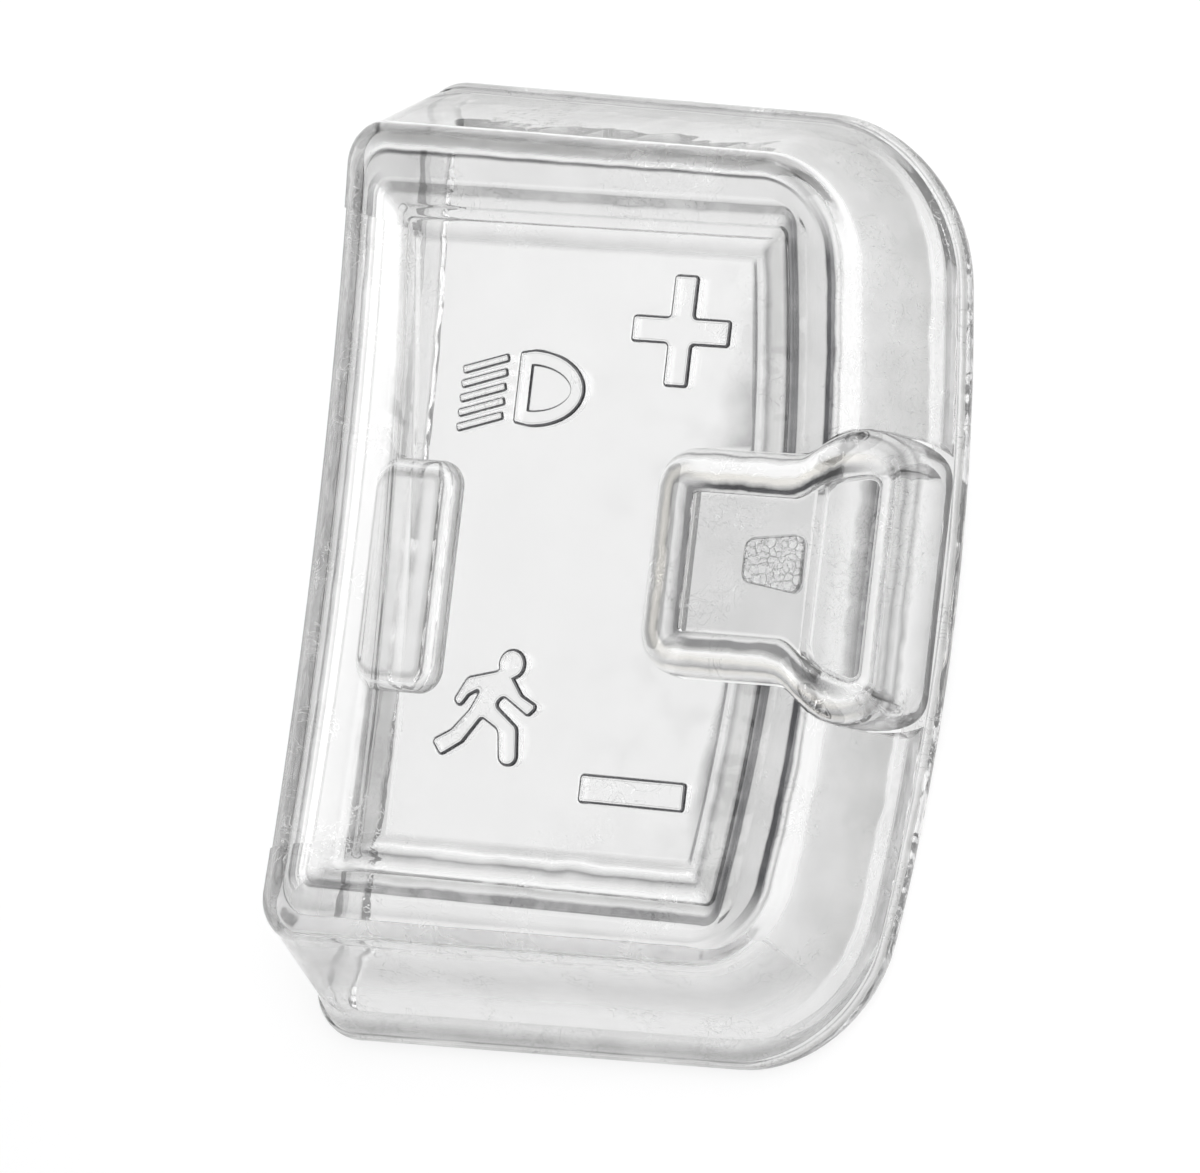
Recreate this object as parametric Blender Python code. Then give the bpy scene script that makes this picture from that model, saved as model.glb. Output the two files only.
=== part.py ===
"""Clear moulded cover for a handlebar remote control, lying face up on its open back.

X runs across the face, Y along it and Z out of it. Sizes are in metres.
"""

import math
from collections import namedtuple

import bmesh
import bpy
from mathutils import Vector

MM = 0.001

# Four lengths, one for each side of the cover as it is seen from the front
Sides = namedtuple("Sides", "left right bottom top")
# One closed line round the cover: where it lies and how it is rounded
Line = namedtuple("Line", "inset z corner_left corner_right taper bow_right skew")
# How far a line lies inside the outline of a raised pad, at its left, right and long sides
Inset = namedtuple("Inset", "left right side")
# One line round a raised pad: where it lies, its height, and its height at the far right
PadLine = namedtuple("PadLine", "inset z z_right")
# The plan of a raised pad: it may flare from one half width to another on its way to the right
Pad = namedtuple("Pad", "length half_left half_right flare_start flare_end bend_start corner")

# Overall form
LENGTH = 74.0 * MM
WIDTH = 52.0 * MM
WALL = 1.4 * MM
RIM_TAPER = math.radians(1.5)
BOW_LEFT = 1.2 * MM
BOW_RIM = 3.9 * MM
RIM_CORNER_LEFT = 4.6 * MM
RIM_CORNER_RIGHT = 12.2 * MM
LOWER_CORNER_SHARE = 0.88
SEAM_GAP = 0.2 * MM

# Rim band, the bead that grips the back edge of the remote
BAND_HEIGHT = 2.0 * MM
BAND_BULGE = 0.5 * MM
BAND_STEPS = 4
BAND_THICKNESS = 1.9 * MM
LIP_REACH = 1.1 * MM
LIP_HEIGHT = 1.2 * MM
LIP_CHAMFER = 0.3 * MM

# Skirt, the sloping side between the rim and the raised border
WAIST_INSET = 0.5 * MM
FOOT_HEIGHT = 3.8 * MM
FOOT_LEFT = 0.55 * MM
FOOT_RIGHT = 1.2 * MM
FOOT_BOTTOM = 2.4 * MM
FOOT_TOP = 1.25 * MM
FOOT_CORNER_LEFT = 3.4 * MM
FOOT_CORNER_RIGHT = 11.0 * MM
SKIRT_RISE = 8.2 * MM
SKIRT_RUN_LEFT = 0.25 * MM
SKIRT_RUN_RIGHT = 2.05 * MM
SKIRT_RUN_BOTTOM = 4.35 * MM
SKIRT_RUN_TOP = 3.25 * MM
SKIRT_TAPER = math.radians(1.2)
SKIRT_BOW = 4.4 * MM
SKIRT_CORNER_LEFT = 3.3 * MM
SKIRT_CORNER_RIGHT = 8.0 * MM

# Raised border, with its rounded crest, and the stepped bevel down to the key panel
FOLD_RISE = 2.1 * MM
FOLD_RUN_LEFT = 1.9 * MM
FOLD_RUN_RIGHT = 1.7 * MM
FOLD_RUN_BOTTOM = 2.1 * MM
FOLD_RUN_TOP = 2.0 * MM
FOLD_STEPS = 6
CREST_BOW = 4.7 * MM
CREST_TAPER = math.radians(0.9)
CREST_CORNER_LEFT = 2.8 * MM
CREST_CORNER_RIGHT = 6.2 * MM
BROW_DROP = 0.15 * MM
BROW_RUN_LEFT = 1.3 * MM
BROW_RUN_RIGHT = 2.0 * MM
BROW_RUN_BOTTOM = 1.1 * MM
BROW_RUN_TOP = 1.8 * MM
BROW_BOW = 5.1 * MM
BROW_CORNER_LEFT = 1.8 * MM
BROW_CORNER_RIGHT = 3.6 * MM
GROOVE_DROP = 0.4 * MM
GROOVE_RUN_LEFT = 0.9 * MM
GROOVE_RUN_RIGHT = 1.1 * MM
GROOVE_RUN_BOTTOM = 0.95 * MM
GROOVE_RUN_TOP = 1.0 * MM
GROOVE_BOW = 5.3 * MM
GROOVE_CORNER = 1.0 * MM
BEVEL_DROP = 0.65 * MM
BEVEL_RUN_LEFT = 4.5 * MM
BEVEL_RUN_RIGHT = 3.4 * MM
BEVEL_RUN_BOTTOM = 3.95 * MM
BEVEL_RUN_TOP = 3.55 * MM
PANEL_BOW = 5.8 * MM
PANEL_CORNER = 0.4 * MM
PANEL_SKEW = 3.5 * MM

# Seams where the key panel wraps over the left side
SEAM_FLARE = math.radians(12.5)

# Keys in the panel
ICON_PROUD = 0.25 * MM
ICON_BEVEL = 0.12 * MM
ICON_GAP = 0.15 * MM
PLUS_SPAN = 8.5 * MM
PLUS_BAR = 2.05 * MM
PLUS_FROM_RIGHT = 8.05 * MM
PLUS_FROM_TOP = 6.05 * MM
MINUS_LENGTH = 9.2 * MM
MINUS_HEIGHT = 2.2 * MM
MINUS_FROM_RIGHT = 7.7 * MM
MINUS_FROM_BOTTOM = 5.2 * MM
ICON_CORNER = 0.3 * MM
LAMP_HEIGHT = 5.9 * MM
LAMP_DEPTH = 5.95 * MM
LAMP_WALL = 1.2 * MM
LAMP_DISH = 0.3 * MM
LAMP_BACK = 0.22
LAMP_STEPS = 14
LAMP_FROM_POCKET = 4.95 * MM
LAMP_OVER_POCKET = 6.05 * MM
BEAM_COUNT = 5
BEAM_LENGTH = 4.1 * MM
BEAM_THICKNESS = 0.62 * MM
BEAM_PITCH = 1.11 * MM
BEAM_TILT = math.radians(17)
BEAM_FROM_LAMP = 4.25 * MM
BEAM_DROP = 0.6 * MM
WALK_HEIGHT = 8.8 * MM
WALK_FROM_POCKET = 4.2 * MM
WALK_UNDER_POCKET = 0.4 * MM
WALK_UNITS = 8.8
HEAD_RADIUS = 1.16 * MM

# Thumb key, a rimmed pad that drapes over the right border and down the skirt
THUMB_LENGTH = 19.0 * MM
THUMB_FROM_RIM = 0.1 * MM
THUMB_CENTRE = 0.7 * MM
THUMB_HALF_LEFT = 8.6 * MM
THUMB_HALF_RIGHT = 11.2 * MM
THUMB_FLARE_START = 12.0 * MM
THUMB_FLARE_END = 16.4 * MM
THUMB_BEND_START = 13.7 * MM
THUMB_CORNER = 3.2 * MM
THUMB_FACE_RISE = 1.7 * MM
THUMB_BEAD_RISE = 1.1 * MM
THUMB_BEAD_RISE_RIGHT = 0.65 * MM
THUMB_BEAD_ROUND = 1.9 * MM
THUMB_BEAD_STEPS = 6
THUMB_BEAD_LEFT = 1.6 * MM
THUMB_BEAD_RIGHT = 0.9 * MM
THUMB_BEAD_SIDE = 1.5 * MM
THUMB_SLOPE_LEFT = 2.4 * MM
THUMB_SLOPE_RIGHT = 1.7 * MM
THUMB_SLOPE_SIDE = 2.3 * MM
THUMB_DROP = 4.7 * MM
THUMB_WALL = 1.3 * MM
THUMB_TRAVEL = 0.8 * MM
THUMB_GAP = 0.25 * MM

# Frosted patch, set in a shallow recess of the thumb key's face
PATCH_LENGTH = 5.0 * MM
PATCH_HEIGHT_LEFT = 3.2 * MM
PATCH_HEIGHT_RIGHT = 4.6 * MM
PATCH_CORNER = 0.8 * MM
PATCH_FROM_LEFT = 10.8 * MM
PATCH_LIFT = 0.4 * MM
PATCH_THICKNESS = 0.5 * MM
PATCH_PROUD = 0.1 * MM
PATCH_GAP = 0.15 * MM

# Side pocket, the fixed rounded tab on the left of the panel
POCKET_LENGTH = 17.9 * MM
POCKET_WIDTH = 7.5 * MM
POCKET_FROM_LEFT = 7.6 * MM
POCKET_CENTRE = -2.0 * MM
POCKET_CORNER = 2.0 * MM
POCKET_RISE = 1.15 * MM
POCKET_ROUND = 1.0 * MM
POCKET_STEPS = 5
POCKET_EDGE_LEFT = 0.7 * MM
POCKET_EDGE_RIGHT = 2.0 * MM
POCKET_EDGE_SIDE = 1.7 * MM

CREST_HEIGHT = FOOT_HEIGHT + SKIRT_RISE + FOLD_RISE
PANEL_HEIGHT = CREST_HEIGHT - BROW_DROP - GROOVE_DROP - BEVEL_DROP
PANEL_UNDERSIDE = PANEL_HEIGHT - WALL
HALF_LENGTH = LENGTH / 2
THUMB_FACE_HEIGHT = PANEL_HEIGHT + THUMB_FACE_RISE
ARC_STEPS = 4
LEAST_CORNER = 0.06 * MM
LEAST_PAD_CORNER = 0.25 * MM

CLEAR = ("clear elastomer", (0.90, 0.91, 0.92), 0.06)
KEY_CLEAR = ("clear elastomer key", (0.86, 0.87, 0.88), 0.08)
FROSTED = ("frosted elastomer", (0.80, 0.81, 0.82), 0.55)


def add(*sides):
    """The sum of several sets of four lengths."""
    return Sides(*(sum(lengths) for lengths in zip(*sides)))


def evenly(length):
    """The same length on all four sides."""
    return Sides(length, length, length, length)


FOLD_RUN = Sides(FOLD_RUN_LEFT, FOLD_RUN_RIGHT, FOLD_RUN_BOTTOM, FOLD_RUN_TOP)
FOOT = Sides(FOOT_LEFT, FOOT_RIGHT, FOOT_BOTTOM, FOOT_TOP)
SKIRT_TOP = add(FOOT, Sides(SKIRT_RUN_LEFT, SKIRT_RUN_RIGHT, SKIRT_RUN_BOTTOM, SKIRT_RUN_TOP))
CREST = add(SKIRT_TOP, FOLD_RUN)
BROW = add(CREST, Sides(BROW_RUN_LEFT, BROW_RUN_RIGHT, BROW_RUN_BOTTOM, BROW_RUN_TOP))
GROOVE = add(BROW, Sides(GROOVE_RUN_LEFT, GROOVE_RUN_RIGHT, GROOVE_RUN_BOTTOM, GROOVE_RUN_TOP))
PANEL = add(GROOVE, Sides(BEVEL_RUN_LEFT, BEVEL_RUN_RIGHT, BEVEL_RUN_BOTTOM, BEVEL_RUN_TOP))
THUMB_BEAD = Inset(THUMB_BEAD_LEFT, THUMB_BEAD_RIGHT, THUMB_BEAD_SIDE)
THUMB_FACE = Inset(
    THUMB_BEAD_LEFT + THUMB_SLOPE_LEFT,
    THUMB_BEAD_RIGHT + THUMB_SLOPE_RIGHT,
    THUMB_BEAD_SIDE + THUMB_SLOPE_SIDE,
)
POCKET_TOP = Inset(POCKET_EDGE_LEFT, POCKET_EDGE_RIGHT, POCKET_EDGE_SIDE)


def bow_at(x, bow_right):
    """How far a point at x lies back at the ends of the cover: its sides bow to the right."""
    share = (x + WIDTH / 2) / WIDTH
    return BOW_LEFT + (bow_right - BOW_LEFT) * share


def rounded(corners, steps):
    """A polygon with an arc at each (x, y, radius) corner."""
    points = []
    for i, (x, y, radius) in enumerate(corners):
        if radius == 0:
            points.append((x, y))
            continue
        before = corners[i - 1]
        after = corners[(i + 1) % len(corners)]
        ax, ay = before[0] - x, before[1] - y
        bx, by = after[0] - x, after[1] - y
        a_length, b_length = math.hypot(ax, ay), math.hypot(bx, by)
        ax, ay, bx, by = ax / a_length, ay / a_length, bx / b_length, by / b_length
        half = math.acos(max(-1.0, min(1.0, ax * bx + ay * by))) / 2
        back = min(radius / math.tan(half), 0.49 * a_length, 0.49 * b_length)
        radius = back * math.tan(half)
        mx, my = ax + bx, ay + by
        m_length = math.hypot(mx, my)
        cx = x + mx / m_length * radius / math.sin(half)
        cy = y + my / m_length * radius / math.sin(half)
        start = math.atan2(y + ay * back - cy, x + ax * back - cx)
        end = math.atan2(y + by * back - cy, x + bx * back - cx)
        turn = (end - start + math.pi) % (2 * math.pi) - math.pi
        for k in range(steps + 1):
            angle = start + turn * k / steps
            points.append((cx + radius * math.cos(angle), cy + radius * math.sin(angle)))
    return points


def line_points(line, corner_steps=9, side_steps=10):
    """The points of one line round the cover, with its corners rounded and its sides bowed."""
    left = -WIDTH / 2 + BOW_LEFT + line.inset.left
    right = WIDTH / 2 - line.inset.right
    top = HALF_LENGTH - line.inset.top
    bottom = -HALF_LENGTH + line.inset.bottom
    slope = math.tan(line.taper)
    corners = [
        (right, top - right * slope, line.corner_right),
        (left - line.skew / 2, top - left * slope, line.corner_left),
        (left + line.skew / 2, bottom + left * slope, line.corner_left),
        (right, bottom + right * slope, line.corner_right * LOWER_CORNER_SHARE),
    ]
    arcs = rounded(corners, corner_steps)
    per_corner = corner_steps + 1
    points = []
    for i in range(4):
        points += arcs[i * per_corner : (i + 1) * per_corner]
        start = arcs[(i + 1) * per_corner - 1]
        end = arcs[(i + 1) * per_corner % len(arcs)]
        pieces = side_steps if i in (1, 3) else 2
        for k in range(1, pieces):
            share = k / pieces
            x = start[0] + (end[0] - start[0]) * share
            points.append((x, start[1] + (end[1] - start[1]) * share))
    bowed = []
    for x, y in points:
        bowed.append((x - bow_at(x, line.bow_right) * (y / HALF_LENGTH) ** 2, y, line.z))
    return bowed


def grown(corners, distance):
    """Rounded corners moved outwards by a distance, or inwards by a negative one.

    The corners run anticlockwise, so one that turns left juts out and its radius grows too.
    """
    moved = []
    for i, (x, y, radius) in enumerate(corners):
        px, py, _ = corners[i - 1]
        nx, ny, _ = corners[(i + 1) % len(corners)]
        before = math.hypot(x - px, y - py)
        after = math.hypot(nx - x, ny - y)
        ax, ay = (y - py) / before, (px - x) / before
        bx, by = (ny - y) / after, (x - nx) / after
        step = distance / (1 + ax * bx + ay * by)
        if radius:
            juts_out = ax * by - ay * bx > 0
            radius = max(radius + (distance if juts_out else -distance), LEAST_CORNER)
        moved.append((x + (ax + bx) * step, y + (ay + by) * step, radius))
    return moved


def outline(corners, grow=0.0):
    """The points of a closed flat outline, grown outwards by a gap or inwards by a bevel."""
    return rounded(grown(corners, grow), ARC_STEPS)


def at_height(points, z):
    """A flat outline lifted to a height."""
    return [(x, y, z) for x, y in points]


def loft(name, rings, closed=False):
    """A mesh bridged through rings of as many points each: its ends capped, or joined as a loop."""
    bm = bmesh.new()
    rows = [[bm.verts.new(point) for point in ring] for ring in rings]
    count = len(rows[0])
    pairs = list(zip(rows, rows[1:]))
    if closed:
        pairs.append((rows[-1], rows[0]))
    for lower, upper in pairs:
        for i in range(count):
            j = (i + 1) % count
            bm.faces.new((lower[i], lower[j], upper[j], upper[i]))
    if not closed:
        bm.faces.new(rows[0])
        bm.faces.new(rows[-1])
    bmesh.ops.recalc_face_normals(bm, faces=bm.faces)
    mesh = bpy.data.meshes.new(name)
    bm.to_mesh(mesh)
    bm.free()
    return mesh


def clear_scene():
    for obj in list(bpy.data.objects):
        bpy.data.objects.remove(obj)


def new_collection(name):
    collection = bpy.data.collections.new(name)
    bpy.context.scene.collection.children.link(collection)
    return collection


def material(finish):
    """A see-through finish: its name, its colour and its roughness."""
    name, colour, roughness = finish
    made = bpy.data.materials.get(name)
    if made is None:
        made = bpy.data.materials.new(name)
        made.use_nodes = True
        shader = made.node_tree.nodes["Principled BSDF"]
        shader.inputs["Base Color"].default_value = (*colour, 1)
        shader.inputs["Roughness"].default_value = roughness
        shader.inputs["Metallic"].default_value = 0
        shader.inputs["IOR"].default_value = 1.5
        shader.inputs["Transmission Weight"].default_value = 1
    return made


def add_object(name, mesh, collection, finish=None, location=(0, 0, 0)):
    obj = bpy.data.objects.new(name, mesh)
    obj.location = location
    collection.objects.link(obj)
    if finish:
        mesh.materials.append(material(finish))
        mesh.shade_smooth()
        mesh.set_sharp_from_angle(angle=math.radians(35))
    else:
        obj.hide_render = True
        obj.display_type = "WIRE"
    return obj


def cut(obj, other, operation="DIFFERENCE"):
    """Cuts one object with another, or keeps only what both hold."""
    modifier = obj.modifiers.new(operation.title() + " " + other.name, "BOOLEAN")
    modifier.operation = operation
    modifier.solver = "EXACT"
    modifier.object = other


def cover_line(inset, z, corners, taper, bow, skew=0.0):
    return Line(inset, z, corners[0], corners[1], taper, bow, skew)


def outer_lines():
    """The lines of the outer skin, from the waist over the rim band up to the key panel."""
    lines = [
        cover_line(
            evenly(WAIST_INSET),
            BAND_HEIGHT + SEAM_GAP,
            (RIM_CORNER_LEFT, RIM_CORNER_RIGHT),
            RIM_TAPER,
            BOW_RIM,
        ),
        cover_line(FOOT, FOOT_HEIGHT, (FOOT_CORNER_LEFT, FOOT_CORNER_RIGHT), RIM_TAPER, BOW_RIM),
    ]
    for k in range(FOLD_STEPS + 1):
        angle = math.pi / 2 * k / FOLD_STEPS
        share = 1 - math.cos(angle)
        inset = Sides(*(a + b * share for a, b in zip(SKIRT_TOP, FOLD_RUN)))
        lines.append(
            cover_line(
                inset,
                FOOT_HEIGHT + SKIRT_RISE + FOLD_RISE * math.sin(angle),
                (
                    SKIRT_CORNER_LEFT + (CREST_CORNER_LEFT - SKIRT_CORNER_LEFT) * share,
                    SKIRT_CORNER_RIGHT + (CREST_CORNER_RIGHT - SKIRT_CORNER_RIGHT) * share,
                ),
                SKIRT_TAPER + (CREST_TAPER - SKIRT_TAPER) * share,
                SKIRT_BOW + (CREST_BOW - SKIRT_BOW) * share,
            )
        )
    brow_height = CREST_HEIGHT - BROW_DROP
    lines.append(cover_line(BROW, brow_height, (BROW_CORNER_LEFT, BROW_CORNER_RIGHT), 0, BROW_BOW))
    groove_height = brow_height - GROOVE_DROP
    lines.append(cover_line(GROOVE, groove_height, (GROOVE_CORNER, GROOVE_CORNER), 0, GROOVE_BOW))
    lines.append(panel_line(PANEL_HEIGHT))
    return lines


def panel_line(z, grow=0.0):
    """The outline of the flat key panel, grown outwards by a gap."""
    inset = add(PANEL, evenly(-grow))
    return cover_line(inset, z, (PANEL_CORNER, PANEL_CORNER), 0, PANEL_BOW, PANEL_SKEW)


def inner_lines():
    """The lines of the inner skin, one wall inside the outer skin."""
    brow_height = CREST_HEIGHT - BROW_DROP
    inner_fold = add(SKIRT_TOP, evenly(WALL))
    half_fold = Sides(*(a + b * 0.3 for a, b in zip(inner_fold, FOLD_RUN)))
    return [
        cover_line(
            evenly(WAIST_INSET + WALL),
            BAND_HEIGHT + SEAM_GAP,
            (RIM_CORNER_LEFT - WALL, RIM_CORNER_RIGHT - WALL),
            RIM_TAPER,
            BOW_RIM,
        ),
        cover_line(
            add(FOOT, evenly(WALL)),
            FOOT_HEIGHT - 0.2 * WALL,
            (FOOT_CORNER_LEFT - WALL, FOOT_CORNER_RIGHT - WALL),
            RIM_TAPER,
            BOW_RIM,
        ),
        cover_line(
            inner_fold,
            FOOT_HEIGHT + SKIRT_RISE - 0.2 * WALL,
            (SKIRT_CORNER_LEFT - WALL, SKIRT_CORNER_RIGHT - WALL),
            SKIRT_TAPER,
            SKIRT_BOW,
        ),
        cover_line(
            half_fold,
            CREST_HEIGHT - WALL,
            (CREST_CORNER_LEFT, CREST_CORNER_RIGHT - WALL),
            CREST_TAPER,
            CREST_BOW,
        ),
        cover_line(BROW, brow_height - WALL, (BROW_CORNER_LEFT, BROW_CORNER_RIGHT), 0, BROW_BOW),
        cover_line(
            GROOVE,
            brow_height - GROOVE_DROP - WALL,
            (GROOVE_CORNER, GROOVE_CORNER),
            0,
            GROOVE_BOW,
        ),
        panel_line(PANEL_UNDERSIDE),
    ]


def shell_mesh(name):
    """The whole face of the cover as one closed shell: inner skin, waist and outer skin."""
    lines = inner_lines()[::-1] + outer_lines()
    return loft(name, [line_points(line) for line in lines])


def band_mesh():
    """The rim band: a rounded bead outside and a gripping lip inside."""
    section = []
    for k in range(BAND_STEPS + 1):
        angle = math.pi * (k / BAND_STEPS - 0.5)
        z = BAND_HEIGHT / 2 * (1 + math.sin(angle))
        section.append((BAND_BULGE * (1 - math.cos(angle)), z))
    section += [
        (BAND_THICKNESS, BAND_HEIGHT),
        (BAND_THICKNESS, LIP_HEIGHT + LIP_CHAMFER),
        (BAND_THICKNESS + LIP_REACH, LIP_HEIGHT),
        (BAND_THICKNESS + LIP_REACH, 0.0),
    ]
    rings = []
    for inset, z in section:
        corners = (RIM_CORNER_LEFT - inset / 2, RIM_CORNER_RIGHT - inset)
        rings.append(line_points(cover_line(evenly(inset), z, corners, RIM_TAPER, BOW_RIM)))
    return loft("rim_band", rings, closed=True)


def panel_outline(grow):
    """The plan of the key panel with the seams that carry it over the left side."""
    right = WIDTH / 2 - PANEL.right + grow
    top = HALF_LENGTH - PANEL.top + grow
    bottom = -HALF_LENGTH + PANEL.bottom - grow
    left = -WIDTH / 2 + BOW_LEFT + PANEL.left
    beyond = -WIDTH / 2 - 2 * MM
    side_steps = 12
    points = [(beyond, top + (left - beyond) * math.tan(SEAM_FLARE)), (left, top)]
    for k in range(side_steps + 1):
        y = top + (bottom - top) * k / side_steps
        points.append((right - bow_at(right, PANEL_BOW) * (y / HALF_LENGTH) ** 2, y))
    points += [(left, bottom), (beyond, bottom - (left - beyond) * math.tan(SEAM_FLARE))]
    return points[::-1]


def prism(name, outline, low, high):
    """A straight prism over a flat outline."""
    return loft(name, [at_height(outline, low), at_height(outline, high)])


def smooth_step(share):
    share = max(0.0, min(1.0, share))
    return share * share * (3 - 2 * share)


def pad_points(pad, inset, z, z_right, half_steps=20):
    """One line round a raised pad, as a lower and an upper run from its left end to its right."""
    left = inset.left - pad.length / 2
    right = pad.length / 2 - inset.right
    corner = max(pad.corner - min(inset.left, inset.side), LEAST_PAD_CORNER)
    corner_right = max(pad.corner - min(inset.right, inset.side), LEAST_PAD_CORNER)
    bend = pad.bend_start - pad.length / 2
    lower, upper = [], []
    for k in range(half_steps + 1):
        x = left + (right - left) * (1 - math.cos(math.pi * k / half_steps)) / 2
        along = (x + pad.length / 2 - pad.flare_start) / (pad.flare_end - pad.flare_start)
        half = pad.half_left + (pad.half_right - pad.half_left) * smooth_step(along) - inset.side
        half -= corner_loss(x - left, corner) + corner_loss(right - x, corner_right)
        height = z + (z_right - z) * smooth_step((x - bend) / (right - bend))
        lower.append((x, -half, height))
        upper.append((x, half, height))
    return lower + upper[::-1]


def corner_loss(distance, radius):
    """How much narrower a rounded end is at a distance from its tip."""
    if distance >= radius:
        return 0.0
    return radius - math.sqrt(max(radius**2 - (radius - distance) ** 2, 0.0))


def pad_mesh(name, pad, lines):
    """A hollow pad bridged through its lines, with its underside and its face filled in strips."""
    bm = bmesh.new()
    rows = [[bm.verts.new(point) for point in pad_points(pad, *line)] for line in lines]
    count = len(rows[0])
    for lower, upper in zip(rows, rows[1:]):
        for i in range(count):
            j = (i + 1) % count
            bm.faces.new((lower[i], lower[j], upper[j], upper[i]))
    for row in (rows[0], rows[-1]):
        for i in range(count // 2 - 1):
            bm.faces.new((row[i], row[i + 1], row[count - 2 - i], row[count - 1 - i]))
    bmesh.ops.recalc_face_normals(bm, faces=bm.faces)
    mesh = bpy.data.meshes.new(name)
    bm.to_mesh(mesh)
    bm.free()
    return mesh


def pad_outline(pad, grow):
    """The plan of a pad, grown outwards by a gap."""
    return [(x, y) for x, y, _ in pad_points(pad, Inset(-grow, -grow, -grow), 0, 0)]


def blend(start, end, share):
    """The inset that lies a share of the way from one inset to another."""
    return Inset(*(a + (b - a) * share for a, b in zip(start, end)))


def deeper(inset, distance):
    """An inset that lies further in on every side."""
    return Inset(*(length + distance for length in inset))


def thumb_lines(pad):
    """The lines of the thumb key, from its underside over its rounded bead to its sunk face."""
    face, face_right = THUMB_FACE_HEIGHT, THUMB_FACE_HEIGHT - THUMB_DROP
    bead, bead_right = face + THUMB_BEAD_RISE, face_right + THUMB_BEAD_RISE_RIGHT
    foot = BAND_HEIGHT + THUMB_TRAVEL + SEAM_GAP
    wall = deeper(Inset(0, 0, 0), THUMB_WALL)
    hollow = deeper(THUMB_BEAD, THUMB_WALL)
    steep = 1.5 * THUMB_WALL
    lines = [
        PadLine(deeper(THUMB_FACE, 0.3 * THUMB_WALL), face - THUMB_WALL, face_right - steep),
        PadLine(hollow, bead - steep, bead_right - 1.5 * steep),
        PadLine(wall, bead - 1.6 * steep, bead_right - 2 * steep),
        PadLine(wall, PANEL_UNDERSIDE, foot),
        PadLine(Inset(0, 0, 0), PANEL_UNDERSIDE, foot),
    ]
    for k in range(THUMB_BEAD_STEPS + 1):
        angle = math.pi / 2 * k / THUMB_BEAD_STEPS
        drop = THUMB_BEAD_ROUND * (1 - math.sin(angle))
        inset = blend(Inset(0, 0, 0), THUMB_BEAD, 1 - math.cos(angle))
        lines.append(PadLine(inset, bead - drop, bead_right - drop))
    for k in range(1, THUMB_BEAD_STEPS + 1):
        share = k / THUMB_BEAD_STEPS
        fall = smooth_step(share)
        z, z_right = bead - THUMB_BEAD_RISE * fall, bead_right - THUMB_BEAD_RISE_RIGHT * fall
        lines.append(PadLine(blend(THUMB_BEAD, THUMB_FACE, share), z, z_right))
    return lines


def pocket_lines():
    """The lines of the side pocket, from its underside over its soft edge to its flat top."""
    top = PANEL_HEIGHT + POCKET_RISE
    wall = deeper(Inset(0, 0, 0), WALL)
    lines = [
        PadLine(blend(wall, deeper(POCKET_TOP, WALL), 0.5), top - WALL, top - WALL),
        PadLine(wall, top - 1.6 * WALL, top - 1.6 * WALL),
        PadLine(wall, PANEL_UNDERSIDE, PANEL_UNDERSIDE),
        PadLine(Inset(0, 0, 0), PANEL_UNDERSIDE, PANEL_UNDERSIDE),
    ]
    for k in range(POCKET_STEPS + 1):
        angle = math.pi / 2 * k / POCKET_STEPS
        z = top - POCKET_ROUND * (1 - math.sin(angle))
        lines.append(PadLine(blend(Inset(0, 0, 0), POCKET_TOP, 1 - math.cos(angle)), z, z))
    return lines


def straight_pad(length, width, corner):
    """A pad with straight sides and a level top."""
    half = length / 2
    return Pad(width, half, half, 0.0, width, 0.0, corner)


def arc(cx, cy, radius, start_deg, end_deg, steps):
    points = []
    for k in range(steps + 1):
        angle = math.radians(start_deg + (end_deg - start_deg) * k / steps)
        points.append((cx + radius * math.cos(angle), cy + radius * math.sin(angle)))
    return points


def box_corners(length, height, radius):
    x, y = length / 2, height / 2
    return [(-x, -y, radius), (x, -y, radius), (x, y, radius), (-x, y, radius)]


def plus_corners():
    half, bar = PLUS_SPAN / 2, PLUS_BAR / 2
    arm = [(half, -bar), (half, bar), (bar, bar)]
    corners = []
    for _ in range(4):
        corners += [(x, y, ICON_CORNER) for x, y in arm]
        arm = [(-y, x) for x, y in arm]
    return corners


def lamp_corners():
    """The lamp sign's D: a nearly straight back with an elliptical front."""
    back = LAMP_BACK * LAMP_DEPTH
    front = LAMP_DEPTH - back
    height = LAMP_HEIGHT / 2
    corners = [
        (0, height, 0.0),
        (-back, 0.92 * height, ICON_CORNER),
        (-back, -0.92 * height, ICON_CORNER),
    ]
    for k in range(LAMP_STEPS):
        angle = -math.pi / 2 + math.pi * k / LAMP_STEPS
        corners.append((front * math.cos(angle), height * math.sin(angle), 0.0))
    return corners


def beam_corners():
    c, s = math.cos(BEAM_TILT), math.sin(BEAM_TILT)
    flat = box_corners(BEAM_LENGTH, BEAM_THICKNESS, 0.3 * BEAM_THICKNESS)
    return [(x * c - y * s, x * s + y * c, radius) for x, y, radius in flat]


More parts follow.
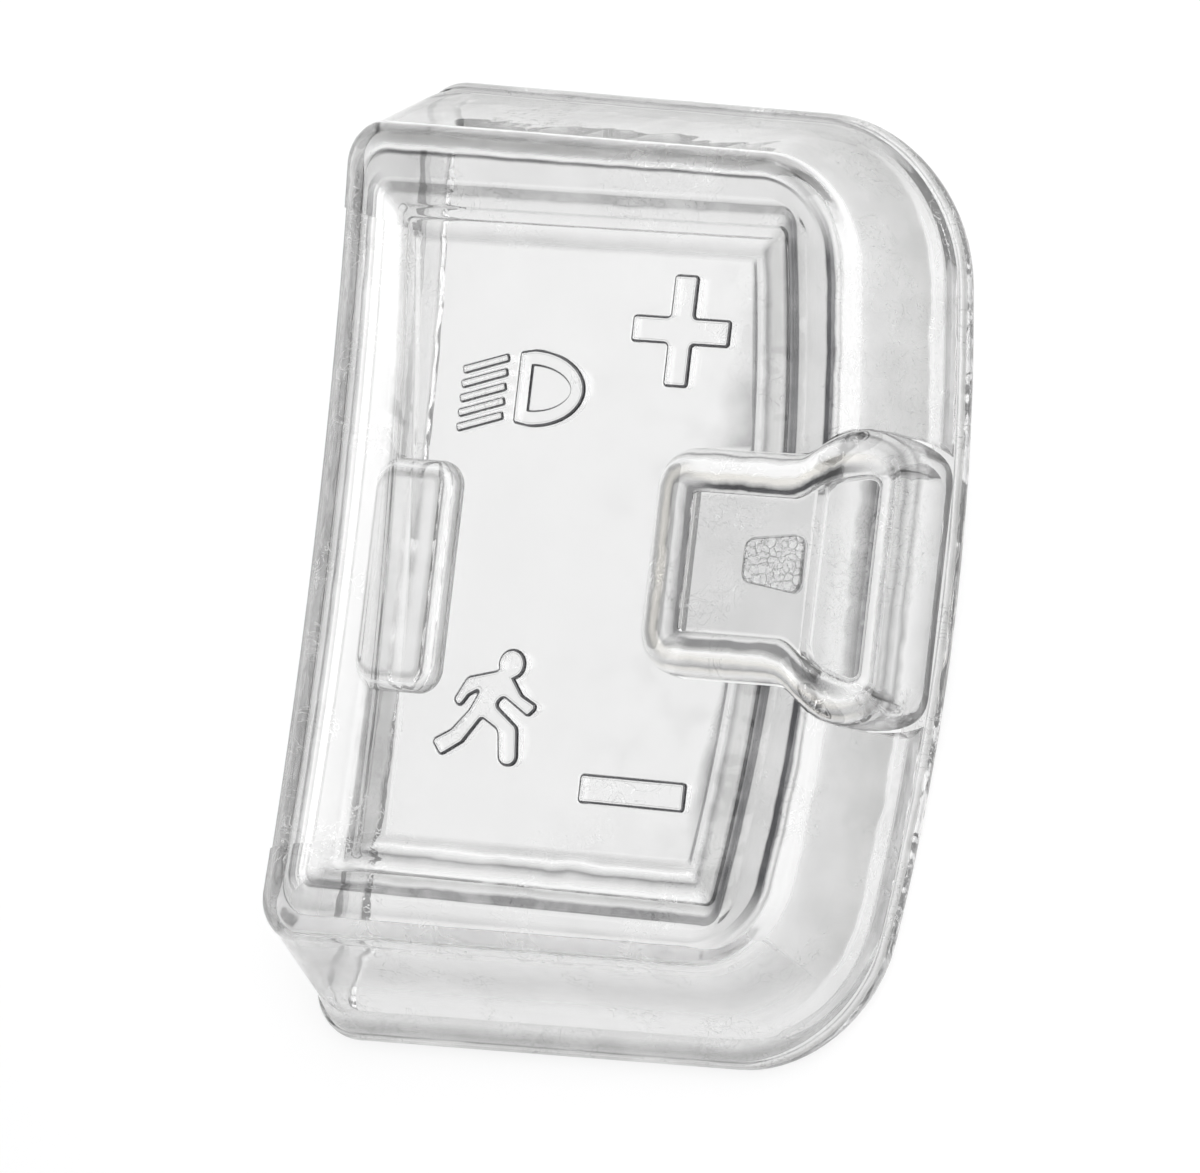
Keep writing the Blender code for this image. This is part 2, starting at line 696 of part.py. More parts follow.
def walk_corners():
    """The walking figure, drawn in small units about the middle of its body."""
    unit = WALK_HEIGHT / WALK_UNITS
    tight, firm, soft = 0.3, 0.38, 0.8
    body = [
        (0.62, 2.70, tight),
        (-1.95, 2.05, soft),
        (-2.95, 0.25, firm),
        (-2.35, -0.40, firm),
        (-1.62, 0.62, firm),
        (-0.70, 1.15, tight),
        (-1.50, -0.45, soft),
        (-2.90, -2.05, soft),
        (-4.50, -2.95, firm),
        (-3.55, -4.15, firm),
        (-1.75, -3.00, soft),
        (-0.28, -0.98, tight),
        (1.25, -1.80, soft),
        (1.62, -4.45, soft),
        (3.30, -4.45, soft),
        (2.95, -1.45, soft),
        (0.80, 0.10, firm),
        (1.45, 0.75, firm),
        (3.75, -0.65, firm),
        (4.60, 0.25, firm),
        (3.05, 1.00, soft),
        (2.18, 2.15, 0.0),
    ]
    head = arc(1.85, 3.27, HEAD_RADIUS / unit, -50, 200, 14)
    return [(x * unit, y * unit, r * unit) for x, y, r in body + [(x, y, 0.0) for x, y in head]]


def plug_mesh(name, corners, dished=False):
    """A key that fills its opening from the panel's underside to just above its face."""
    low, high = PANEL_UNDERSIDE, PANEL_HEIGHT + ICON_PROUD
    rings = [
        at_height(outline(corners), low),
        at_height(outline(corners), high - ICON_BEVEL),
        at_height(outline(corners, -ICON_BEVEL), high),
    ]
    if dished:
        rings.append(at_height(outline(corners, -LAMP_WALL), high))
        rings.append(at_height(outline(corners, -LAMP_WALL - ICON_BEVEL), high - LAMP_DISH))
    return loft(name, rings)


def patch_corners():
    """The patch is a little taller on its right."""
    x = PATCH_LENGTH / 2
    low, high = PATCH_HEIGHT_LEFT / 2, PATCH_HEIGHT_RIGHT / 2
    flat = [(-x, -low), (x, -high), (x, high), (-x, low)]
    return [(a, b, PATCH_CORNER) for a, b in flat]


def key_places():
    """The middle of each sign.

    The plus and the minus are set out from the panel's right corners, and the lamp and the walking
    figure from the ends of the side pocket's right edge.
    """
    right = WIDTH / 2 - PANEL.right
    top = HALF_LENGTH - PANEL.top
    bottom = -HALF_LENGTH + PANEL.bottom
    pocket_right = -WIDTH / 2 + POCKET_FROM_LEFT + POCKET_WIDTH
    pocket_top = POCKET_CENTRE + POCKET_LENGTH / 2
    pocket_bottom = POCKET_CENTRE - POCKET_LENGTH / 2
    return {
        "plus_key": (right - PLUS_FROM_RIGHT, top - PLUS_FROM_TOP),
        "minus_key": (right - MINUS_FROM_RIGHT, bottom + MINUS_FROM_BOTTOM),
        "lamp_key": (pocket_right + LAMP_FROM_POCKET, pocket_top + LAMP_OVER_POCKET),
        "walk_key": (pocket_right + WALK_FROM_POCKET, pocket_bottom - WALK_UNDER_POCKET),
    }


def add_cutter(name, points, low, high, location=(0, 0, 0)):
    mesh = prism(name, points, low, high)
    return add_object(name, mesh, bpy.data.collections["cutters"], location=location)


def add_face(parts, high):
    """The frame and the key panel: one shell, split along the seams round the panel."""
    frame = add_object("frame_shell", shell_mesh("frame_shell"), parts, CLEAR)
    panel = add_object("key_panel", shell_mesh("key_panel"), parts, CLEAR)
    seam = panel_outline(0)
    cut(panel, add_cutter("panel_split", seam, FOOT_HEIGHT + SEAM_GAP, high), "INTERSECT")
    cut(frame, add_cutter("panel_split_gap", panel_outline(SEAM_GAP), FOOT_HEIGHT, high))
    return frame, panel


def add_thumb_key(parts, frame, panel, high):
    """The thumb key in its opening, with the frosted patch set in its face."""
    pad = Pad(
        THUMB_LENGTH,
        THUMB_HALF_LEFT,
        THUMB_HALF_RIGHT,
        THUMB_FLARE_START,
        THUMB_FLARE_END,
        THUMB_BEND_START,
        THUMB_CORNER,
    )
    place = (WIDTH / 2 - THUMB_FROM_RIM - THUMB_LENGTH / 2, THUMB_CENTRE, 0)
    thumb = add_object("thumb_key", pad_mesh("thumb_key", pad, thumb_lines(pad)), parts, KEY_CLEAR, place)
    hole = add_cutter("thumb_hole", pad_outline(pad, THUMB_GAP), BAND_HEIGHT / 2, high, place)
    cut(frame, hole)
    cut(panel, hole)

    corners = patch_corners()
    low = THUMB_FACE_HEIGHT + PATCH_PROUD - PATCH_THICKNESS
    patch_mesh = prism("thumb_key_patch", outline(corners), low, low + PATCH_THICKNESS)
    patch = add_object("thumb_key_patch", patch_mesh, parts, FROSTED)
    recess = add_cutter("patch_recess", outline(corners, PATCH_GAP), low - PATCH_GAP, high)
    cut(thumb, recess)
    for piece in (patch, recess):
        piece.parent = thumb
        piece.location = (PATCH_FROM_LEFT - THUMB_LENGTH / 2, PATCH_LIFT, 0)


def add_side_pocket(parts, panel, high):
    pad = straight_pad(POCKET_LENGTH, POCKET_WIDTH, POCKET_CORNER)
    place = (POCKET_FROM_LEFT - WIDTH / 2 + POCKET_WIDTH / 2, POCKET_CENTRE, 0)
    add_object("side_pocket", pad_mesh("side_pocket", pad, pocket_lines()), parts, CLEAR, place)
    hole = pad_outline(pad, SEAM_GAP)
    cut(panel, add_cutter("pocket_hole", hole, FOOT_HEIGHT + WALL, high, place))


def add_key(name, corners, place, parts, panel, parent=None):
    """A sign that is pressed, in its own opening of the panel. A parent's place is its origin."""
    plug = plug_mesh(name, corners, dished=name == "lamp_key")
    key = add_object(name, plug, parts, KEY_CLEAR, (*place, 0))
    hole = prism(name + "_hole", outline(corners, ICON_GAP), FOOT_HEIGHT + WALL, CREST_HEIGHT)
    cutter = add_object(name + "_hole", hole, bpy.data.collections["cutters"], location=(*place, 0))
    cut(panel, cutter)
    for piece in (key, cutter):
        piece.parent = parent
    return key


def add_keys(parts, panel):
    places = key_places()
    minus = box_corners(MINUS_LENGTH, MINUS_HEIGHT, ICON_CORNER)
    add_key("plus_key", plus_corners(), places["plus_key"], parts, panel)
    add_key("minus_key", minus, places["minus_key"], parts, panel)
    add_key("walk_key", walk_corners(), places["walk_key"], parts, panel)
    lamp = add_key("lamp_key", lamp_corners(), places["lamp_key"], parts, panel)
    for k in range(BEAM_COUNT):
        lift = ((BEAM_COUNT - 1) / 2 - k) * BEAM_PITCH - BEAM_DROP
        place = (-BEAM_FROM_LAMP, lift)
        add_key(f"lamp_beam_{k + 1}", beam_corners(), place, parts, panel, lamp)


def centre_on(band):
    """Moves the whole cover so that the middle of its rim band stands over the origin."""
    xs = [vertex.co.x for vertex in band.data.vertices]
    ys = [vertex.co.y for vertex in band.data.vertices]
    middle = Vector((min(xs) + max(xs), min(ys) + max(ys), 0)) / 2
    for obj in bpy.data.objects:
        if obj.parent is None:
            obj.location -= middle


def build():
    clear_scene()
    parts = new_collection("remote_control_cover")
    new_collection("cutters")
    high = CREST_HEIGHT + 2 * THUMB_DROP
    band = add_object("rim_band", band_mesh(), parts, CLEAR)
    frame, panel = add_face(parts, high)
    add_thumb_key(parts, frame, panel, high)
    add_side_pocket(parts, panel, high)
    add_keys(parts, panel)
    centre_on(band)


build()
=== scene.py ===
"""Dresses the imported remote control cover: a clear moulding with pressable signs and a thumb key.

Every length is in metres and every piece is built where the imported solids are. The sizes repeat
the part's own named values, with finer steps, because light bent by a clear wall shows each facet.
"""

from __future__ import annotations

import logging
import math
from collections.abc import Sequence
from dataclasses import dataclass, replace
from enum import Enum
from functools import partial

import bmesh
import bpy
from bmesh.types import BMEdge, BMesh, BMVert
from mathutils import Matrix, Vector
from mathutils.bvhtree import BVHTree
from mathutils.interpolate import poly_3d_calc

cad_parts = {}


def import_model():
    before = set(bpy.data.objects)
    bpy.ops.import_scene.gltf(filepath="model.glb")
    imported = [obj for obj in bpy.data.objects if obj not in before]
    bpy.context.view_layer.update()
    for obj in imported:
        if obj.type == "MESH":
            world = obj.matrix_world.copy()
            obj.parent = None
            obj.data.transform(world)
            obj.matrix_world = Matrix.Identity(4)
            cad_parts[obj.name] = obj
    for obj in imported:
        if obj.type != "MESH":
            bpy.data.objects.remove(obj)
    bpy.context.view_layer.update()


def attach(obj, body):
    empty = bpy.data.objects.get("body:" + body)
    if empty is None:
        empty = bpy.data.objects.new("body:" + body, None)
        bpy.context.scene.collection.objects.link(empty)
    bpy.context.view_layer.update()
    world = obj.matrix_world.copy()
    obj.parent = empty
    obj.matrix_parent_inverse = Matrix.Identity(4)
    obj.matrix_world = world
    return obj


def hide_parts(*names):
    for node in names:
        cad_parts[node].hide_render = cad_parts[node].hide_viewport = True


log = logging.getLogger("remote_cover")

MM = 0.001
SHARP = math.radians(40)
# A point's fourth number says how far across a fold it lies, kept so small that it adds no length
ACROSS = 1e-6
# Further across than any painted band
BEYOND = 9.0
# The marks of what has no painted bands: the flat panel and the shell's inside, and the side
# pocket's top
PANEL_MARK = -1.0
POCKET_TOP_MARK = -3.0
# The most of a side that a rounding may take at each end
ARC_SHARE = 0.49
ROUND_SHARE = 0.48
# How many chords round the corner of a sign or of a plate
CORNER_STEPS = 6
# The least radius of a rounded corner that is moved inwards
LEAST_RADIUS = 0.06 * MM
# How near each other two points are to be one
WELD = 1e-7
Corner = tuple[float, float, float]
Ring = list[Vector]


class Body(Enum):
    """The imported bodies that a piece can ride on."""

    COVER = "cover"
    THUMB = "thumb"
    PLUS = "plus"
    MINUS = "minus"
    WALK = "walk"
    LAMP = "lamp"


class Slot(Enum):
    """The record's material slots."""

    SHELL = "clear_shell"
    KEY = "clear_key"
    PATCH = "frosted_patch"


class Join(Enum):
    """How one solid is worked with another."""

    TAKE_AWAY = "DIFFERENCE"
    UNITE = "UNION"


# ---------------------------------------------------------------------------------------------
# Shared sizes and small helpers
# ---------------------------------------------------------------------------------------------


def linear(hex_colour: str) -> tuple[float, float, float, float]:
    """Turns an sRGB hex colour to linear light.

    Args:
        hex_colour: Six hex digits after a #.

    Returns:
        Red, green, blue and alpha 1.
    """
    shares = [int(hex_colour[i : i + 2], 16) / 255 for i in (1, 3, 5)]
    red, green, blue = (s / 12.92 if s <= 0.04045 else ((s + 0.055) / 1.055) ** 2.4 for s in shares)
    return red, green, blue, 1.0


def bare_tree(owner: bpy.types.Material | bpy.types.World) -> bpy.types.NodeTree:
    """Empties the node tree of a material or a world.

    Args:
        owner: The material or the world.

    Returns:
        Its tree, without nodes.
    """
    owner.use_nodes = True
    owner.node_tree.nodes.clear()
    return owner.node_tree


def add_node(
    tree: bpy.types.NodeTree,
    kind: str,
    inputs: dict[str | int, object] | None = None,
    **settings: object,
) -> bpy.types.Node:
    """Adds one node with its settings and its links.

    Args:
        tree: The node tree it goes into.
        kind: Blender's name for the node type, without the ShaderNode in front.
        inputs: What each socket takes: a node's output socket, a node for its first, or a value.
        settings: Properties of the node.

    Returns:
        The new node.
    """
    node = tree.nodes.new("ShaderNode" + kind)
    for name, value in settings.items():
        setattr(node, name, value)
    for socket, value in (inputs or {}).items():
        if isinstance(value, bpy.types.Node):
            value = value.outputs[0]
        if isinstance(value, bpy.types.NodeSocket):
            tree.links.new(value, node.inputs[socket])
        else:
            node.inputs[socket].default_value = value
    return node


def smooth_step(share: float) -> float:
    """Eases a share from 0 to 1, held at both ends."""
    share = max(0.0, min(1.0, share))
    return share * share * (3 - 2 * share)


def quarter_round(steps: int) -> list[tuple[float, float, float]]:
    """Walks over a rounding of radius 1, from its upright side to its top.

    Args:
        steps: How many chords it has.

    Returns:
        At each point its share of the walk, how far in it lies, and how far below the top.
    """
    shares = [k / steps for k in range(steps + 1)]
    return [(s, 1 - math.cos(math.pi / 2 * s), 1 - math.sin(math.pi / 2 * s)) for s in shares]


@dataclass(frozen=True)
class Sides:
    """Four lengths, one for each side of the cover seen from the front."""

    left: float
    right: float
    bottom: float
    top: float

    @classmethod
    def even(cls, length: float) -> Sides:
        """The same length on every side."""
        return cls(length, length, length, length)

    def plus(self, other: Sides, share: float = 1.0) -> Sides:
        """Adds a share of other lengths to these.

        Args:
            other: The other lengths.
            share: How much of them is added.

        Returns:
            The sums.
        """
        return Sides(
            self.left + other.left * share,
            self.right + other.right * share,
            self.bottom + other.bottom * share,
            self.top + other.top * share,
        )

    def deeper(self, length: float) -> Sides:
        """The same length added on every side."""
        return self.plus(Sides.even(length))


@dataclass(frozen=True)
class CoverLine:
    """One closed line round the cover: how far in it lies, its height, and how it is rounded."""

    inset: Sides
    z: float
    corner_left: float
    corner_right: float
    taper: float
    bow: float
    skew: float = 0.0
    across: float = BEYOND


def corner_arc(corners: Sequence[Corner], index: int, steps: int) -> Ring:
    """Draws the arc that rounds one corner of a polygon.

    Args:
        corners: The polygon's x, y and radius at each corner, anticlockwise.
        index: Which corner.
        steps: How many chords the arc has.

    Returns:
        The arc's points in the plane, in the polygon's order.
    """
    x, y, radius = corners[index]
    here = Vector((x, y))
    before = Vector(corners[index - 1][:2]) - here
    after = Vector(corners[(index + 1) % len(corners)][:2]) - here
    half = before.angle(after) / 2
    back = min(radius / math.tan(half), ARC_SHARE * before.length, ARC_SHARE * after.length)
    radius = back * math.tan(half)
    before.normalize()
    after.normalize()
    centre = here + (before + after).normalized() * radius / math.sin(half)
    start, end = here + before * back - centre, here + after * back - centre
    turn = start.angle_signed(end)
    return [centre + Matrix.Rotation(-turn * k / steps, 2) @ start for k in range(steps + 1)]


@dataclass(frozen=True)
class CoverPlan:
    """The cover's plan and wall, shared by the pieces that go all the way round it."""

    length: float = 74.0 * MM
    width: float = 52.0 * MM
    wall: float = 1.4 * MM
    bow_left: float = 1.2 * MM
    lower_corner_share: float = 0.88
    rim_taper: float = math.radians(1.5)
    rim_bow: float = 3.9 * MM
    rim_corner_left: float = 4.6 * MM
    rim_corner_right: float = 12.2 * MM
    band_height: float = 2.0 * MM
    crest_height: float = 14.1 * MM
    panel_height: float = 12.9 * MM
    panel_inset: Sides = Sides(9.4 * MM, 11.45 * MM, 14.85 * MM, 12.85 * MM)
    panel_bow: float = 5.8 * MM
    panel_corner: float = 0.4 * MM
    panel_skew: float = 3.5 * MM
    wrap_drop: float = 0.1 * MM
    least_corner: float = 0.8 * MM
    corner_steps: int = 18
    side_steps: int = 30
    end_steps: int = 8

    @property
    def panel_underside(self) -> float:
        """The height of the key panel's underside."""
        return self.panel_height - self.wall

    @property
    def to_row_frame(self) -> Vector:
        """The move that puts the rim's middle over the origin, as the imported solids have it."""
        xs = [point.x for point in self.points(self.rim_line(0.0, 0.0))]
        return Vector((-(min(xs) + max(xs)) / 2, 0, 0))

    def bow_at(self, x: float, bow: float) -> float:
        """How far a point at x lies back at the ends of the cover, whose sides bow to the right."""
        return self.bow_left + (bow - self.bow_left) * (x + self.width / 2) / self.width

    def rim_line(self, inset: float, z: float) -> CoverLine:
        """Lays a line that follows the rim at an even distance inside it.

        Args:
            inset: How far inside.
            z: Its height.

        Returns:
            The line.
        """
        return CoverLine(
            Sides.even(inset),
            z,
            max(self.rim_corner_left - inset, self.least_corner),
            self.rim_corner_right - inset,
            self.rim_taper,
            self.rim_bow,
        )

    def panel_line(self, z: float, inset: float = 0.0) -> CoverLine:
        """Lays the edge of the flat key panel, or a line inside it.

        Args:
            z: Its height.
            inset: How far inside the edge it lies.

        Returns:
            The line.
        """
        corner = self.panel_corner
        return CoverLine(
            self.panel_inset.deeper(inset), z, corner, corner, 0.0, self.panel_bow, self.panel_skew
        )

    def points(self, line: CoverLine) -> Ring:
        """Draws one line round the cover.

        Args:
            line: Where it lies and how it is rounded.

        Returns:
            Its points, anticlockwise from the top right corner, as many for every line.
        """
        left = -self.width / 2 + self.bow_left + line.inset.left
        right = self.width / 2 - line.inset.right
        top = self.length / 2 - line.inset.top
        bottom = line.inset.bottom - self.length / 2
        slope = math.tan(line.taper)
        corners = [
            (right, top - right * slope, line.corner_right),
            (left - line.skew / 2, top - left * slope, line.corner_left),
            (left + line.skew / 2, bottom + left * slope, line.corner_left),
            (right, bottom + right * slope, line.corner_right * self.lower_corner_share),
        ]
        arcs = [corner_arc(corners, i, self.corner_steps) for i in range(4)]
        flat: Ring = []
        for i, arc in enumerate(arcs):
            flat += arc
            pieces = self.side_steps if i % 2 else self.end_steps
            following = arcs[(i + 1) % 4][0]
            flat += [arc[-1].lerp(following, k / pieces) for k in range(1, pieces)]
        half = self.length / 2
        return [
            Vector(
                (
                    p.x - self.bow_at(p.x, line.bow) * (p.y / half) ** 2,
                    p.y,
                    line.z,
                    line.across * ACROSS,
                )
            )
            for p in flat
        ]

    def ends(self) -> list[float]:
        """Works out how far each point of a line belongs to the cover's ends.

        Returns:
            The shares: 1 along the ends, 0 on the sides.
        """
        ends: list[float] = []
        for i in range(4):
            run = self.side_steps if i % 2 else self.end_steps
            turn = [k / self.corner_steps for k in range(self.corner_steps + 1)]
            ends += [smooth_step(1 - share if i % 2 else share) for share in turn]
            ends += [1.0 - i % 2] * (run - 1)
        return ends


def softened(rings: list[Ring], radii: dict[int, float], steps: int = 4) -> list[Ring]:
    """Rounds the crease at some rings of a skin, as the cutter of a mould would.

    Args:
        rings: The skin's rings, each with as many points.
        radii: How far the rounding reaches to each side, by the ring's index.
        steps: How many chords each rounding has.

    Returns:
        All the rings, with each rounded one replaced by steps + 1.
    """
    result: list[Ring] = []
    for i, ring in enumerate(rings):
        if i not in radii:
            result.append(ring)
            continue
        for k in range(steps + 1):
            share = k / steps
            row = []
            for before, here, after in zip(rings[i - 1], ring, rings[i + 1]):
                back, on = before - here, after - here
                start = back.normalized() * min(radii[i], ROUND_SHARE * back.length)
                end = on.normalized() * min(radii[i], ROUND_SHARE * on.length)
                row.append(here + start * (1 - share) ** 2 + end * share**2)
            result.append(row)
    return result


class Skin:
    """A skin drawn from one closed line: each further line is an extrusion of the last."""

    def __init__(self, points: Sequence[Vector], ends: Sequence[float]) -> None:
        """Starts with a circle of as many points, moved onto the first line.

        Args:
            points: The first line.
            ends: How far each of its points belongs to the ends, which have their own painted
                bands.
        """
        self.bm = bmesh.new()
        self.across = self.bm.verts.layers.float.new("across")
        self.at_ends = self.bm.verts.layers.float.new("ends")
        self.ends = ends
        self.ring = bmesh.ops.create_circle(self.bm, segments=len(points), radius=MM)["verts"]
        self.first = list(self.ring)
        self._place(points)

    def _place(self, points: Sequence[Vector]) -> None:
        """Puts the last ring's vertices on a line, with its marks.

        Args:
            points: The line.
        """
        for vert, point, end in zip(self.ring, points, self.ends):
            vert.co = point.xyz
            vert[self.across] = point.w / ACROSS
            vert[self.at_ends] = end

    @staticmethod
    def edges(ring: Sequence[BMVert]) -> list[BMEdge]:
        """Finds the edges of a closed ring.

        Args:
            ring: Its vertices.

        Returns:
            The edges, in the same order.
        """
        following = [*ring[1:], ring[0]]
        return [
            next(edge for edge in vert.link_edges if edge.other_vert(vert) is after)
            for vert, after in zip(ring, following)
        ]

    def draw_to(self, points: Sequence[Vector]) -> None:
        """Extrudes the last ring to another line.

        Args:
            points: The line.
        """
        made = bmesh.ops.extrude_edge_only(self.bm, edges=self.edges(self.ring))["geom"]
        fresh = {item for item in made if isinstance(item, BMVert)}
        self.ring = [
            next(far for edge in vert.link_edges if (far := edge.other_vert(vert)) in fresh)
            for vert in self.ring
        ]
        self._place(points)

    def cap(self) -> None:
        """Fills the first and the last ring with one flat face each."""
        for ring in (self.first, self.ring):
            bmesh.ops.contextual_create(self.bm, geom=self.edges(ring))

    def fill_in_strips(self) -> None:
        """Fills a pad's first and last ring with strips, from the lower run to the upper run."""
        for ring in (self.first, self.ring):
            edges = self.edges(ring)
            half = len(ring) // 2
            bmesh.ops.bridge_loops(self.bm, edges=edges[: half - 1] + edges[half:-1])

    def finished(self) -> BMesh:
        """Closes the skin and turns its faces outwards.

        Returns:
            Its mesh.
        """
        bmesh.ops.remove_doubles(self.bm, verts=self.bm.verts, dist=WELD)
        bmesh.ops.recalc_face_normals(self.bm, faces=self.bm.faces)
        return self.bm


def skin_through(rings: Sequence[Sequence[Vector]], ends: Sequence[float]) -> Skin:
    """Draws an open skin through rings.

    Args:
        rings: The rings, each with as many points.
        ends: How far each point of a ring belongs to the ends.

    Returns:
        The skin.
    """
    skin = Skin(rings[0], ends)
    for ring in rings[1:]:
        skin.draw_to(ring)
    return skin


def grown(corners: Sequence[Corner], distance: float) -> list[Corner]:
    """Moves a rounded outline outwards, or inwards by a negative distance.

    Args:
        corners: The outline's corners, anticlockwise.
        distance: How far each side moves.

    Returns:
        The moved corners, with radii that keep the arcs parallel.
    """
    moved = []
    for i, (x, y, radius) in enumerate(corners):
        px, py, _ = corners[i - 1]
        nx, ny, _ = corners[(i + 1) % len(corners)]
        before, after = math.hypot(x - px, y - py), math.hypot(nx - x, ny - y)
        ax, ay = (y - py) / before, (px - x) / before
        bx, by = (ny - y) / after, (x - nx) / after
        step = distance / (1 + ax * bx + ay * by)
        if radius:
            juts_out = ax * by - ay * bx > 0
            radius = max(radius + (distance if juts_out else -distance), LEAST_RADIUS)
        moved.append((x + (ax + bx) * step, y + (ay + by) * step, radius))
    return moved


def outline(corners: Sequence[Corner], z: float, across: float) -> Ring:
    """Draws a rounded outline at a height.

    Args:
        corners: The outline's corners, anticlockwise.
        z: Its height.
        across: How far across its fold it lies.

    Returns:
        Its points.
    """
    points = []
    for i, (x, y, radius) in enumerate(corners):
        arc = corner_arc(corners, i, CORNER_STEPS) if radius else [Vector((x, y))]
        points += [Vector((*p, z, across * ACROSS)) for p in arc]
    return points


def block(
    corners: Sequence[Corner], lines: Sequence[tuple[float, float, float]], name: str, place: Vector
) -> bpy.types.Object:
    """Builds a closed block over a rounded outline.

    Args:
        corners: The outline's corners, anticlockwise.
        lines: How far in each line lies, its height, and how far across the block's edge.
        name: The object's name.
        place: Where its middle lies.

    Returns:
        The block.
    """
    rings = [outline(grown(corners, -inset), z, across) for inset, z, across in lines]
    skin = skin_through(rings, [0.0] * len(rings[0]))
    skin.cap()
    return make_object(name, skin.finished(), place)


def rounded_top(high: float, edge: float, rounding: int = 4) -> list[tuple[float, float, float]]:
    """Lays the lines of a block's upper edge, from its wall over the rounding on to its top.

    Args:
        high: The height of its top.
        edge: How far the rounding reaches.
        rounding: How many chords it has.

    Returns:
        How far in each line lies, its height, and its mark, from 0 at the wall to 4 at the top.
    """
    lines = [(0.0, high - 4 * edge, BEYOND), (0.0, high - 2 * edge, 0.0)]
    for share, inwards, below in quarter_round(rounding):
        lines.append((edge * inwards, high - edge * below, 1 + share))
    return [*lines, (2 * edge, high, 3.0), (3 * edge, high, 4.0)]


def plate(corners: Sequence[Corner], low: float, high: float) -> BMesh:
    """Builds a straight plate over a rounded outline.

    Args:
        corners: The outline's corners, anticlockwise.
        low: The height of its underside.
        high: The height of its top.

    Returns:
        The mesh.
    """
    bm = bmesh.new()
    verts = [bm.verts.new((x, y, low)) for x, y, _ in corners]
    bmesh.ops.contextual_create(bm, geom=verts)
    bm.normal_update()
    places = [vert.co.copy() for vert in verts]
    for i, (_, _, radius) in enumerate(corners):
        if not radius:
            continue
        before = places[i - 1] - places[i]
        after = places[(i + 1) % len(places)] - places[i]
        back = radius / math.tan(before.angle(after) / 2)
        bmesh.ops.bevel(
            bm,
            geom=[verts[i]],
            offset=min(back, ROUND_SHARE * before.length, ROUND_SHARE * after.length),
            offset_type="OFFSET",
            segments=CORNER_STEPS,
            profile=0.5,
            affect="VERTICES",
            material=-1,
        )
    top = bmesh.ops.extrude_face_region(bm, geom=list(bm.faces))["geom"]
    bmesh.ops.translate(bm, vec=(0, 0, high - low), verts=[v for v in top if isinstance(v, BMVert)])
    bmesh.ops.recalc_face_normals(bm, faces=bm.faces)
    return bm


def make_object(name: str, bm: BMesh, place: Vector) -> bpy.types.Object:
    """Turns a finished bmesh into an object at the origin, with its place in its mesh.

    Args:
        name: The object's name.
        bm: The bmesh, which is freed.
        place: How far the mesh moves.

    Returns:
        The object, linked to the scene.
    """
    bmesh.ops.translate(bm, vec=place, verts=bm.verts)
    mesh = bpy.data.meshes.new(name)
    bm.to_mesh(mesh)
    bm.free()
    obj = bpy.data.objects.new(name, mesh)
    bpy.context.scene.collection.objects.link(obj)
    return obj


def work(body: bpy.types.Object, tool: bpy.types.Object, join: Join) -> None:
    """Cuts a solid with another or unites them, and removes the other.

    Args:
        body: The solid that stays.
        tool: The solid that is used up.
        join: Which of the two is done.
    """
    modifier = body.modifiers.new(join.name, "BOOLEAN")
    modifier.operation = join.value
    modifier.solver = "MANIFOLD"
    modifier.object = tool
    graph = bpy.context.evaluated_depsgraph_get()
    worked = bpy.data.meshes.new_from_object(body.evaluated_get(graph))
    body.modifiers.clear()
    old, body.data = body.data, worked
    bpy.data.meshes.remove(old)
    spent = tool.data
    bpy.data.objects.remove(tool)
    bpy.data.meshes.remove(spent)


